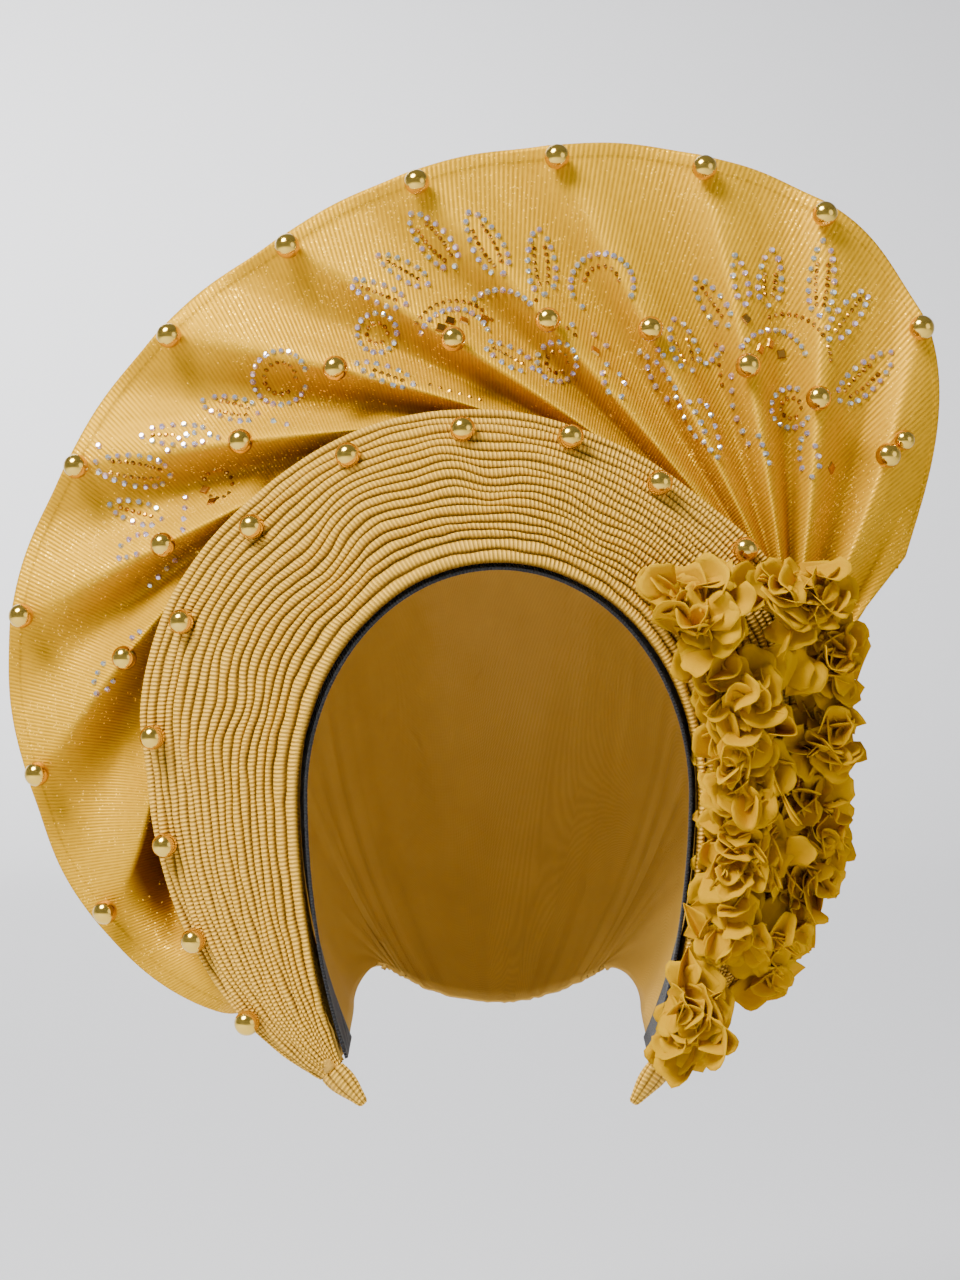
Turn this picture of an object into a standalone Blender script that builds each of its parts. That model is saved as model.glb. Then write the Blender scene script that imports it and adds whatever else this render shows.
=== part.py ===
"""Tied gele head tie: a pleated face band, a folded fan, a crown cap, gold beads and chiffon flowers.

Metres, +Z up, the wearer looking along -Y. The origin is the inside top of the crown cap, where it
rests on the head. Turns are degrees round the face opening's centre, 0 at the top and plus towards +X.
"""

import math
from collections import namedtuple

import bmesh
import bpy
from mathutils import Euler, Matrix, Vector
from mathutils.bvhtree import BVHTree

# Gaps between pieces
CLEARANCE = 0.0003
SEAM_GAP = 0.0005
SEAT_STEP = 0.0006

# Head and face opening
HEAD_HALF_HEIGHT = 0.1125
HEAD_HALF_DEPTH = 0.0965
OPENING_HALF_WIDTH = 0.069
OPENING_RISE = 0.082
OPENING_DROP = 0.152
TEMPLE_ROOM = 0.0055
CAP_WALL = 0.0015
CAP_SETBACK = 0.0036
NAPE_HALF_WIDTH = 0.050
INNER_BAND_WIDTH = 0.013
INNER_BAND_WALL = 0.001
INNER_BAND_SHOW = 0.0042
CAP_COLUMNS = 20
CAP_ROWS = 10

# How the cap runs from the face over the head to the nape, as shares of the head's half sizes
NAPE_TURN = 0.66
NAPE_BACK = 0.62
NAPE_DROP = 0.72
CROWN_BACK = 0.55
CROWN_RISE = 1.45
SIDE_SWELL = 1.25
SIDE_DROP = 0.80
EDGE_SETTLE = 0.25

# Pleated band round the face
BAND_REACH = 0.1385
BAND_FORWARD = 0.074
BAND_BOW = 0.003
BAND_WALL = 0.0024
BAND_PLEATS = 17
PLEAT_HEIGHT = 0.0013
PLEAT_WAVE = 0.0032
BAND_STEPS = 22
CUFF_LENGTH = 0.015
CUFF_WIDTH = 0.011
CUFF_THICKNESS = 0.006
CUFF_TIP_WIDTH = 0.45
CUFF_TIP_THICKNESS = 0.55
CUFF_ROUNDING = 0.0012

# Folded fan
FAN_REACH = 0.239
FAN_HEM = 0.006
FAN_WALL = 0.0015
FAN_TUCK = 0.0045
FAN_SETBACK = 0.0052
FOLD_DEPTH = 0.016
FOLD_ARCH = 0.002
RIM_BULGE = 0.0013
FAN_STEPS = 7

# Trim
BEAD_RADIUS = 0.0045
SMALL_BEAD_RADIUS = 0.0037
SIDE_BEAD_SHARE = 0.14
SIDE_BEAD_ALONG = 0.73
FLOWER_RADIUS = 0.0130
FLOWER_HEIGHT = 0.017
PETAL_WALL = 0.0016
FLOWER_PETALS = 5
PETAL_TURN = 137.5
PETAL_STEP = 0.085
PETAL_DRAW = 0.05

# One petal and the round heart under it: widths and runs are shares of FLOWER_RADIUS, and rises
# are shares of FLOWER_HEIGHT
PETAL_ROOT_WIDTH = 0.16
PETAL_SWELL = 0.50
PETAL_SWELL_FROM = 0.05
PETAL_SWELL_TO = 0.67
PETAL_START = 0.12
PETAL_RUN = 0.88
PETAL_ROUND = 0.18
PETAL_ROOT_RISE = 0.12
PETAL_CLIMB = 0.55
PETAL_CURL = 1.4
PETAL_CUP = 0.14
HEART_ROOT = 0.42
HEART_TOP = 0.30
HEART_RISE = 0.60

FACE_CENTRE = Vector((0.0, 0.0, -HEAD_HALF_HEIGHT))
HEAD_HALF_WIDTH = OPENING_HALF_WIDTH + TEMPLE_ROOM

# Band sections from the left jaw over the brow to the right jaw. Reach is a share of BAND_REACH, and
# the two forward columns are shares of BAND_FORWARD, at the opening's edge and the outer edge.
Section = namedtuple("Section", "name opening_turn edge_turn reach opening_forward edge_forward")
BAND_SECTIONS = (
    Section("left_end", -127.0, -147.7, 0.846, 0.51, 0.41),
    Section("left_jaw", -119.0, -132.0, 0.866, 0.53, 0.30),
    Section("left_cheek", -106.0, -112.4, 0.880, 0.57, 0.19),
    Section("left_side", -90.0, -90.0, 0.904, 0.65, 0.16),
    Section("left_temple", -72.0, -74.9, 0.954, 0.74, 0.22),
    Section("left_brow", -54.0, -56.0, 0.989, 0.84, 0.28),
    Section("upper_left", -38.0, -38.0, 0.993, 0.92, 0.36),
    Section("top_left", -20.0, -20.0, 1.000, 0.98, 0.46),
    Section("top", 0.0, 0.0, 0.982, 1.00, 0.51),
    Section("top_right", 20.0, 20.0, 0.942, 0.98, 0.53),
    Section("upper_right", 38.0, 38.0, 0.913, 0.92, 0.53),
    Section("right_brow", 54.0, 54.0, 0.910, 0.84, 0.50),
    Section("right_temple", 72.0, 72.0, 0.848, 0.74, 0.41),
    Section("right_side", 90.0, 90.0, 0.780, 0.65, 0.32),
    Section("right_cheek", 106.0, 112.0, 0.773, 0.57, 0.30),
    Section("right_jaw", 119.0, 132.0, 0.794, 0.53, 0.35),
    Section("right_end", 127.0, 147.7, 0.816, 0.51, 0.43),
)

# Places where the pleats swerve: push is a share of PLEAT_WAVE towards the outer edge.
Swerve = namedtuple("Swerve", "name turn across push turn_spread across_spread")
PLEAT_SWERVES = (
    Swerve("brow_crest", -9.0, 0.58, 0.6, 4.0, 0.22),
    Swerve("brow_trough", -1.5, 0.55, -0.7, 5.0, 0.25),
    Swerve("upper_left_rise", -26.0, 0.48, 0.9, 7.0, 0.25),
    Swerve("upper_left_dip", -39.0, 0.45, -1.0, 8.0, 0.28),
    Swerve("left_kink", -72.0, 0.42, -0.8, 6.0, 0.25),
    Swerve("right_dip", 22.0, 0.40, -0.7, 6.0, 0.25),
)

# Fan folds from the left end to the right end, one crest a row. The tail is where a crest runs under
# the band. Rim reach is a share of FAN_REACH, middle a share of the crest's length, bow a share of it
# sideways, rim forward a share of BAND_FORWARD. The last three are shares of FOLD_DEPTH: how far the
# cloth falls back between this crest and the next one, at the tail, the middle and the rim.
Fold = namedtuple(
    "Fold", "name tail_turn rim_turn rim_reach middle bow rim_forward tail_fall middle_fall rim_fall"
)
FAN_FOLDS = (
    Fold("left_end", -125.0, -128.6, 0.510, 0.50, 0.000, 0.15, 0.90, 1.05, 0.15),
    Fold("fold_01", -75.0, -106.8, 0.627, 0.67, 0.077, -0.04, 1.00, 1.05, 0.30),
    Fold("fold_02", -41.6, -87.5, 0.703, 0.557, -0.016, 0.00, 0.50, 0.85, 0.35),
    Fold("fold_03", -33.8, -69.4, 0.772, 0.459, 0.000, 0.06, 0.80, 0.95, 0.35),
    Fold("fold_04", -10.0, -52.0, 0.808, 0.527, -0.012, 0.11, 0.70, 0.95, 0.38),
    Fold("fold_05", 14.1, -35.5, 0.851, 0.600, -0.022, 0.16, 0.60, 0.90, 0.38),
    Fold("fold_06", 32.0, -20.9, 0.884, 0.590, -0.022, 0.19, 0.60, 0.90, 0.35),
    Fold("fold_07", 52.0, -7.5, 0.928, 0.640, -0.012, 0.22, 0.30, 0.80, 0.35),
    Fold("fold_08", 55.0, 5.3, 0.962, 0.600, -0.009, 0.22, 0.30, 0.75, 0.30),
    Fold("fold_09", 58.0, 18.2, 0.991, 0.550, -0.010, 0.22, 0.30, 0.70, 0.30),
    Fold("fold_10", 61.0, 29.3, 1.000, 0.556, -0.013, 0.22, 0.30, 0.65, 0.28),
    Fold("fold_11", 66.0, 42.1, 0.946, 0.626, -0.030, 0.22, 0.25, 0.40, 0.20),
    Fold("right_end", 70.0, 60.3, 0.690, 0.50, 0.000, 0.22, 0.00, 0.00, 0.00),
)
VALLEY_SHARE = 0.60
FOLD_STOPS = (0.0, 0.20, 0.42, 0.60, 0.80)
MIDDLE_OF_FALL = 0.45

# Beads along the band: turn, and the distance in from its outer edge as a share of BAND_REACH.
BandBead = namedtuple("BandBead", "turn inset")
BAND_BEADS = (
    BandBead(-131.4, 0.012),
    BandBead(-114.9, 0.016),
    BandBead(-98.0, 0.030),
    BandBead(-80.2, 0.043),
    BandBead(-61.2, 0.072),
    BandBead(-42.4, 0.072),
    BandBead(-23.7, 0.066),
    BandBead(-5.5, 0.064),
    BandBead(11.3, 0.037),
    BandBead(27.0, 0.043),
    BandBead(44.6, 0.034),
)

# Flowers down the right cheek: reach is a share of BAND_REACH, size a share of FLOWER_RADIUS, and
# spin and lean are degrees.
Flower = namedtuple("Flower", "turn reach size spin lean")
FLOWERS = (
    Flower(47.2, 0.700, 0.98, 10.0, -8.0),
    Flower(54.7, 0.883, 0.96, 40.0, 8.0),
    Flower(64.9, 0.665, 0.98, 65.0, -10.0),
    Flower(66.5, 0.883, 0.96, 20.0, 12.0),
    Flower(81.7, 0.619, 0.96, 5.0, -10.0),
    Flower(78.4, 0.817, 0.96, 50.0, 14.0),
    Flower(99.4, 0.616, 0.92, 30.0, -8.0),
    Flower(91.5, 0.761, 0.90, 75.0, 14.0),
    Flower(116.5, 0.654, 0.92, 15.0, -6.0),
    Flower(105.1, 0.768, 0.90, 55.0, 12.0),
    Flower(135.6, 0.730, 0.98, 35.0, -4.0),
    Flower(119.3, 0.813, 0.90, 60.0, 10.0),
)


def clear_scene():
    for thing in list(bpy.data.objects):
        bpy.data.objects.remove(thing, do_unlink=True)


def slope(values, row):
    """Slope of a smooth line at one of its values, flat where the values turn round."""
    last = len(values) - 1
    if row in (0, last):
        return values[min(row + 1, last)] - values[max(row - 1, 0)]
    before = values[row] - values[row - 1]
    after = values[row + 1] - values[row]
    return 2 * before * after / (before + after) if before * after > 0 else 0.0


def eased(values, place):
    """Value at PLACE, a row number with a fraction, on a smooth line through VALUES."""
    row = min(max(int(place), 0), len(values) - 2)
    share = place - row
    start, end = values[row], values[row + 1]
    rise = (3 - 2 * share) * share**2
    leave = slope(values, row) * share * (1 - share) ** 2
    arrive = slope(values, row + 1) * share**2 * (1 - share)
    return start + (end - start) * rise + leave - arrive


def column(table, name, place):
    return eased([getattr(row, name) for row in table], place)


def polar(turn, reach):
    angle = math.radians(turn)
    return Vector((reach * math.sin(angle), 0.0, reach * math.cos(angle)))


def opening_edge(turn):
    """The opening is half an ellipse above its centre and a longer half below."""
    angle = math.radians(turn)
    rise = OPENING_RISE if abs(turn) < 90 else OPENING_DROP
    return Vector((OPENING_HALF_WIDTH * math.sin(angle), 0.0, rise * math.cos(angle)))


def edge_place(turn):
    """Row number along the band where its outer edge has this turn."""
    low, high = 0.0, len(BAND_SECTIONS) - 1.0
    for _ in range(30):
        middle = (low + high) / 2
        if column(BAND_SECTIONS, "edge_turn", middle) < turn:
            low = middle
        else:
            high = middle
    return low


def swerved(turn, across):
    """Share across the band once its pleats have swerved."""
    moved = across
    for bend in PLEAT_SWERVES:
        fade = ((turn - bend.turn) / bend.turn_spread) ** 2 + ((across - bend.across) / bend.across_spread) ** 2
        moved += bend.push * PLEAT_WAVE * math.exp(-fade) / (BAND_REACH - OPENING_RISE)
    return moved


def band_spine(place, across):
    """A point on the smooth front of the band, before its pleats."""
    turn = column(BAND_SECTIONS, "opening_turn", place)
    edge_turn = column(BAND_SECTIONS, "edge_turn", place)
    inner = opening_edge(turn)
    outer = polar(edge_turn, column(BAND_SECTIONS, "reach", place) * BAND_REACH)
    share = swerved(edge_turn, across)
    flat = inner.lerp(outer, share)
    near = column(BAND_SECTIONS, "opening_forward", place)
    far = column(BAND_SECTIONS, "edge_forward", place)
    forward = (near + (far - near) * across) * BAND_FORWARD + BAND_BOW * 4 * across * (1 - across)
    return FACE_CENTRE + flat + Vector((0.0, -forward, 0.0))


def facing(surface, place, across):
    """Unit normal of a surface, on the side that looks forward."""
    step = 0.01
    along = surface(place + step, across) - surface(place - step, across)
    over = surface(place, across + step) - surface(place, across - step)
    normal = along.cross(over).normalized()
    return -normal if normal.y > 0 else normal


def pleat_lift(across):
    """Each pleat stands up between two grooves."""
    return PLEAT_HEIGHT * abs(math.sin(math.pi * BAND_PLEATS * across))


def band_front(place, across):
    return band_spine(place, across) + facing(band_spine, place, across) * pleat_lift(across)


def band_edge(turn, inset):
    """A point on the band's smooth front, INSET in from its outer edge."""
    place = edge_place(turn)
    inner, outer = band_spine(place, 0.0), band_spine(place, 1.0)
    across = 1 - inset / (outer - inner).length
    return band_spine(place, across)


def fold_fall(row, share, along):
    """How far the cloth falls back, SHARE of the way from one crest to the next."""
    if along < MIDDLE_OF_FALL:
        mix = along / MIDDLE_OF_FALL
        depth = row.tail_fall + (row.middle_fall - row.tail_fall) * math.sin(mix * math.pi / 2)
    else:
        mix = (along - MIDDLE_OF_FALL) / (1 - MIDDLE_OF_FALL)
        depth = row.rim_fall + (row.middle_fall - row.rim_fall) * (1 + math.cos(min(mix, 1) * math.pi)) / 2
    reach = share / VALLEY_SHARE if share < VALLEY_SHARE else (1 - share) / (1 - VALLEY_SHARE)
    return depth * FOLD_DEPTH * (1 - math.cos(reach * math.pi)) / 2


def fan_front(place, along):
    """A point on the front of the fan: PLACE counts folds, ALONG is 0 at the tail and 1 at the rim bead."""
    tail_turn = column(FAN_FOLDS, "tail_turn", place)
    tail = band_edge(tail_turn, FAN_TUCK)
    tail.y += FAN_SETBACK
    row = FAN_FOLDS[min(int(place), len(FAN_FOLDS) - 2)]
    share = place - FAN_FOLDS.index(row)
    reach = column(FAN_FOLDS, "rim_reach", place) * FAN_REACH + RIM_BULGE * math.sin(math.pi * share) ** 2
    rim = FACE_CENTRE + polar(column(FAN_FOLDS, "rim_turn", place), reach)
    rim.y = -column(FAN_FOLDS, "rim_forward", place) * BAND_FORWARD
    run = rim - tail
    side = Vector((-run.z, 0.0, run.x))
    middle = column(FAN_FOLDS, "middle", place)
    sway = column(FAN_FOLDS, "bow", place) * along * (1 - along) / (middle * (1 - middle))
    fall = fold_fall(row, share, along)
    arch = FOLD_ARCH * 4 * along * (1 - along)
    return tail + run * along + side * sway + Vector((0.0, fall - arch, 0.0))


def head_point(turn, back, depth=0.0):
    """A point on the outside of the crown cap, or DEPTH inside it: BACK is 0 at the face and 1 at the nape."""
    size = Vector((HEAD_HALF_WIDTH, HEAD_HALF_DEPTH + CAP_WALL, HEAD_HALF_HEIGHT + CAP_WALL))
    flat = opening_edge(turn)
    forward = eased_forward(turn) * BAND_FORWARD - CAP_SETBACK
    start = Vector((flat.x / size.x, -forward / size.y, flat.z / size.z))
    angle = math.radians(turn)
    nape = Vector((math.sin(angle * NAPE_TURN) * NAPE_HALF_WIDTH / size.x, NAPE_BACK, -NAPE_DROP))
    rise = max(CROWN_RISE * math.cos(angle), -SIDE_DROP)
    over = Vector((SIDE_SWELL * math.sin(angle), CROWN_BACK, rise))
    way = start * (1 - back) ** 2 + over * 2 * back * (1 - back) + nape * back**2
    settle = max(0.0, 1 - back / EDGE_SETTLE) ** 2
    radius = 1 + (start.length - 1) * settle
    unit = way.normalized() * radius
    point = Vector((unit.x * size.x, unit.y * size.y, unit.z * size.z))
    inward = Vector((unit.x / size.x, unit.y / size.y, unit.z / size.z)).normalized()
    return FACE_CENTRE + point - inward * depth


def eased_forward(turn):
    """Share of BAND_FORWARD that the opening's edge stands at, for a turn of the opening."""
    turns = [row.opening_turn for row in BAND_SECTIONS]
    row = max(0, min(len(turns) - 2, sum(t <= turn for t in turns) - 1))
    share = (turn - turns[row]) / (turns[row + 1] - turns[row])
    return column(BAND_SECTIONS, "opening_forward", row + share)


def material(name, colour, roughness, metallic=0.0):
    made = bpy.data.materials.new(name)
    made.use_nodes = True
    shader = made.node_tree.nodes["Principled BSDF"]
    shader.inputs["Base Color"].default_value = (*colour, 1.0)
    shader.inputs["Roughness"].default_value = roughness
    shader.inputs["Metallic"].default_value = metallic
    return made


def add_object(name, mesh, finish, home):
    made = bpy.data.objects.new(name, mesh)
    if not mesh.materials:
        mesh.materials.append(finish)
    home.objects.link(made)
    return made


def mesh_from(grid, name):
    mesh = bpy.data.meshes.new(name)
    grid.to_mesh(mesh)
    grid.free()
    return mesh


def grid_of(steps_across, steps_along, place_of):
    """A grid whose points PLACE_OF sets from their step across and their share along."""
    grid = bmesh.new()
    bmesh.ops.create_grid(grid, x_segments=steps_across, y_segments=steps_along, size=0.5)
    for point in grid.verts:
        step = round((point.co.x + 0.5) * steps_across)
        point.co = place_of(step, point.co.y + 0.5)
    return grid


def face_away(grid, centre):
    """Turn the faces so that they look away from CENTRE."""
    grid.normal_update()
    outward = sum(face.normal.dot(face.calc_center_median() - centre) for face in grid.faces)
    if outward < 0:
        bmesh.ops.reverse_faces(grid, faces=grid.faces[:])


def add_sheet(name, grid, wall, centre, finish, home):
    """A cloth sheet: the grid is its outer face, and its wall grows towards CENTRE."""
    face_away(grid, centre)
    sheet = add_object(name, mesh_from(grid, name), finish, home)
    sheet.data.shade_smooth()
    wall_modifier = sheet.modifiers.new("wall", "SOLIDIFY")
    wall_modifier.thickness = wall
    wall_modifier.offset = -1.0
    return sheet


def add_band(finish, home):
    last = len(BAND_SECTIONS) - 1
    columns = 2 * BAND_PLEATS
    grid = grid_of(columns, BAND_STEPS, lambda step, share: band_front(share * last, step / columns))
    return add_sheet("face_band", grid, BAND_WALL, FACE_CENTRE, finish, home)


def fold_place(step):
    """Fan place of a grid step, so that every crest and valley has a line of points."""
    stops = len(FOLD_STOPS)
    return step // stops + FOLD_STOPS[step % stops]


def add_fan(finish, home):
    steps = (len(FAN_FOLDS) - 1) * len(FOLD_STOPS)

    def place_of(step, share):
        place = fold_place(step)
        length = (fan_front(place, 1.0) - fan_front(place, 0.0)).length
        return fan_front(place, share * (1 + FAN_HEM / length))

    grid = grid_of(steps, FAN_STEPS, place_of)
    behind = FACE_CENTRE + Vector((0.0, HEAD_HALF_DEPTH, 0.0))
    return add_sheet("fan", grid, FAN_WALL, behind, finish, home)


def cap_turn(share):
    first, last = BAND_SECTIONS[0].opening_turn, BAND_SECTIONS[-1].opening_turn
    return first + (last - first) * share


def hem_share(turn):
    """Share of the way to the nape that the inner band reaches, so that the cap has a row there too."""
    step = 0.05
    length = (head_point(turn, step) - head_point(turn, 0.0)).length / step
    return INNER_BAND_WIDTH / length


def add_cap(finish, home):
    def place_of(step, share):
        turn = cap_turn(step / CAP_COLUMNS)
        row = round(share * CAP_ROWS)
        hem = hem_share(turn)
        back = 0.0 if row == 0 else hem + (1 - hem) * (row - 1) / (CAP_ROWS - 1)
        return head_point(turn, back)

    grid = grid_of(CAP_COLUMNS, CAP_ROWS, place_of)
    return add_sheet("crown_cap", grid, CAP_WALL, FACE_CENTRE, finish, home)


def add_inner_band(finish, home):
    def place_of(step, share):
        turn = cap_turn(step / CAP_COLUMNS)
        depth = CAP_WALL + SEAM_GAP
        if share > 0.25:
            return head_point(turn, hem_share(turn) * (share - 0.5) * 2, depth)
        return head_point(turn, 0.0, depth) + Vector((0.0, -INNER_BAND_SHOW, 0.0))

    grid = grid_of(CAP_COLUMNS, 2, place_of)
    return add_sheet("inner_band", grid, INNER_BAND_WALL, FACE_CENTRE, finish, home)


def add_cuff(name, place, finish, home):
    """A small block of folded cloth that tapers from the band's end to its tip."""
    inner, outer = band_spine(place, 0.0), band_spine(place, 1.0)
    inside = 1.0 if place == 0 else -1.0
    along = (band_spine(place, 0.5) - band_spine(place + inside * 0.3, 0.5)).normalized()
    over = (outer - inner).normalized()
    front = facing(band_spine, place, 0.5)
    centre = band_spine(place, 0.5) + along * (CUFF_LENGTH / 2 + SEAM_GAP)
    centre -= front * BAND_WALL / 2
    block = bmesh.new()
    bmesh.ops.create_cube(block, size=1.0)
    for point in block.verts:
        tip = point.co.x > 0
        width = CUFF_WIDTH * (CUFF_TIP_WIDTH if tip else 1.0)
        thick = CUFF_THICKNESS * (CUFF_TIP_THICKNESS if tip else 1.0)
        point.co = along * point.co.x * CUFF_LENGTH + over * point.co.y * width + front * point.co.z * thick
        point.co += centre
    block.normal_update()
    bmesh.ops.recalc_face_normals(block, faces=block.faces[:])
    cuff = add_object(name, mesh_from(block, name), finish, home)
    rounding = cuff.modifiers.new("rounding", "BEVEL")
    rounding.width = CUFF_ROUNDING
    rounding.segments = 1
    return cuff


def bead_mesh(radius, name):
    ball = bmesh.new()
    bmesh.ops.create_uvsphere(ball, u_segments=10, v_segments=5, radius=radius)
    mesh = mesh_from(ball, name)
    mesh.shade_smooth()
    return mesh


def tree_of(thing, place=None):
    """A search tree of an object's finished mesh in world space, or of its mesh moved to PLACE."""
    graph = bpy.context.evaluated_depsgraph_get()
    evaluated = thing.evaluated_get(graph)
    mesh = evaluated.to_mesh()
    move = evaluated.matrix_world if place is None else place
    points = [move @ point.co for point in mesh.vertices]
    faces = [tuple(face.vertices) for face in mesh.polygons]
    evaluated.to_mesh_clear()
    return BVHTree.FromPolygons(points, faces)


def seat(thing, turned, start, against):
    """Move a thing back along +Y from START until it is just clear of what carries it."""
    travel = BAND_FORWARD + FLOWER_HEIGHT * 2
    bpy.context.view_layer.update()

    def touches(way):
        moved = Matrix.Translation(start + Vector((0.0, way, 0.0))) @ turned.to_4x4()
        tree = tree_of(thing, moved)
        return any(tree.overlap(other) for other in against)

    near, far = 0.0, SEAT_STEP
    while not touches(far) and far < travel:
        near, far = far, far + SEAT_STEP
    for _ in range(6):
        middle = (near + far) / 2
        if touches(middle):
            far = middle
        else:
            near = middle
    thing.location = start + Vector((0.0, near - CLEARANCE, 0.0))
    thing.rotation_euler = turned.to_euler()
    bpy.context.view_layer.update()


def add_bead(name, mesh, spot, against, finish, home):
    bead = add_object(name, mesh, finish, home)
    start = Vector((spot.x, spot.y - BEAD_RADIUS * 4, spot.z))
    seat(bead, Matrix.Identity(3), start, against)
    return bead


def add_beads(band, fan, finish, home):
    mesh = bead_mesh(BEAD_RADIUS, "bead")
    small = bead_mesh(SMALL_BEAD_RADIUS, "small_bead")
    surfaces = [tree_of(band), tree_of(fan)]
    for number, row in enumerate(FAN_FOLDS[1:-1], start=1):
        add_bead(f"rim_bead_{number:02d}", mesh, fan_front(number, 1.0), surfaces, finish, home)
        if number > 1:
            spot = fan_front(number, row.middle)
            add_bead(f"fold_bead_{number:02d}", mesh, spot, surfaces, finish, home)
    beside = fan_front(len(FAN_FOLDS) - 2 + SIDE_BEAD_SHARE, SIDE_BEAD_ALONG)
    add_bead("side_bead", small, beside, surfaces, finish, home)
    for number, row in enumerate(BAND_BEADS, start=1):
        spot = band_edge(row.turn, row.inset * BAND_REACH)
        add_bead(f"band_bead_{number:02d}", mesh, spot, surfaces, finish, home)


def petal_shape(across, out, layer):
    """One cupped petal: ACROSS runs -1 to 1, OUT from 0 at the heart to 1 at the tip."""
    swell = PETAL_SWELL_FROM + (PETAL_SWELL_TO - PETAL_SWELL_FROM) * out
    width = PETAL_ROOT_WIDTH + PETAL_SWELL * math.sin(math.pi * swell)
    run = PETAL_RUN * out * (1 - PETAL_ROUND * across**2)
    reach = PETAL_START + run - PETAL_DRAW * layer * out
    rise = PETAL_ROOT_RISE + PETAL_CLIMB * out**PETAL_CURL + PETAL_CUP * across**2 * out + PETAL_STEP * layer
    return Vector((across * width * FLOWER_RADIUS, reach * FLOWER_RADIUS, rise * FLOWER_HEIGHT))


def add_petal(number, helpers):
    grid = grid_of(2, 1, lambda step, out: petal_shape(step - 1, out, number))
    turn = Matrix.Rotation(math.radians(PETAL_TURN) * number, 3, "Z")
    bmesh.ops.transform(grid, matrix=turn.to_4x4(), verts=grid.verts[:])
    petal = bpy.data.objects.new(f"petal_{number}", mesh_from(grid, f"petal_{number}"))
    helpers.objects.link(petal)
    wall = petal.modifiers.new("wall", "SOLIDIFY")
    wall.thickness = PETAL_WALL
    wall.offset = 0.0
    petal.hide_render = True
    petal.display_type = "WIRE"
    return petal


def flower_mesh(finish, helpers):
    """Five petals joined to a round heart, as one body that opens along +Z."""
    heart_shape = bmesh.new()
    bmesh.ops.create_cone(
        heart_shape, cap_ends=True, segments=8, radius1=FLOWER_RADIUS * HEART_ROOT,
        radius2=FLOWER_RADIUS * HEART_TOP, depth=FLOWER_HEIGHT * HEART_RISE,
    )
    lift = Vector((0.0, 0.0, FLOWER_HEIGHT * HEART_RISE / 2))
    bmesh.ops.translate(heart_shape, vec=lift, verts=heart_shape.verts[:])
    heart = bpy.data.objects.new("heart", mesh_from(heart_shape, "heart"))
    helpers.objects.link(heart)
    heart.hide_render = True
    for number in range(FLOWER_PETALS):
        joint = heart.modifiers.new(f"petal_{number}", "BOOLEAN")
        joint.operation = "UNION"
        joint.solver = "EXACT"
        joint.object = add_petal(number, helpers)
    graph = bpy.context.evaluated_depsgraph_get()
    mesh = bpy.data.meshes.new_from_object(heart.evaluated_get(graph))
    mesh.materials.clear()
    mesh.materials.append(finish)
    return mesh


def add_flowers(carriers, finish, home, helpers):
    """Each flower is set back onto the band, the fan and the flowers already there."""
    flower = flower_mesh(finish, helpers)
    against = [tree_of(carrier) for carrier in carriers]
    for number, row in enumerate(FLOWERS, start=1):
        mesh = flower.copy()
        mesh.transform(Matrix.Scale(row.size, 4))
        spot = FACE_CENTRE + polar(row.turn, row.reach * BAND_REACH)
        turned = Euler((math.radians(90), 0.0, math.radians(row.lean))).to_matrix()
        turned = turned @ Matrix.Rotation(math.radians(row.spin), 3, "Z")
        blossom = add_object(f"flower_{number:02d}", mesh, finish, home)
        seat(blossom, turned, Vector((spot.x, -BAND_FORWARD - FLOWER_HEIGHT * 2, spot.z)), against)
        against.append(tree_of(blossom))


def main():
    clear_scene()
    home = bpy.data.collections.new("tied_gele")
    helpers = bpy.data.collections.new("cutters")
    for group in (home, helpers):
        bpy.context.scene.collection.children.link(group)
    cloth = material("gold_aso_oke_cloth", (0.72, 0.44, 0.10), 0.55)
    pleats = material("gold_pleated_cloth", (0.60, 0.36, 0.11), 0.62)
    lining = material("plain_gold_cloth", (0.55, 0.34, 0.10), 0.75)
    stretch = material("black_stretch_band", (0.01, 0.01, 0.012), 0.8)
    metal = material("gold_plated_bead", (0.95, 0.72, 0.28), 0.18, 1.0)
    chiffon = material("mustard_chiffon", (0.66, 0.38, 0.02), 0.8)
    band = add_band(pleats, home)
    fan = add_fan(cloth, home)
    cap = add_cap(lining, home)
    add_inner_band(stretch, home)
    add_cuff("left_end_cuff", 0, pleats, home)
    add_cuff("right_end_cuff", len(BAND_SECTIONS) - 1, pleats, home)
    bpy.context.view_layer.update()
    add_beads(band, fan, metal, home)
    add_flowers([band, fan, cap], chiffon, home, helpers)


main()
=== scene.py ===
import math
import random
from collections import namedtuple

import bmesh
import bpy
import numpy as np
from mathutils import Matrix, Vector, noise
from mathutils.bvhtree import BVHTree


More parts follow.
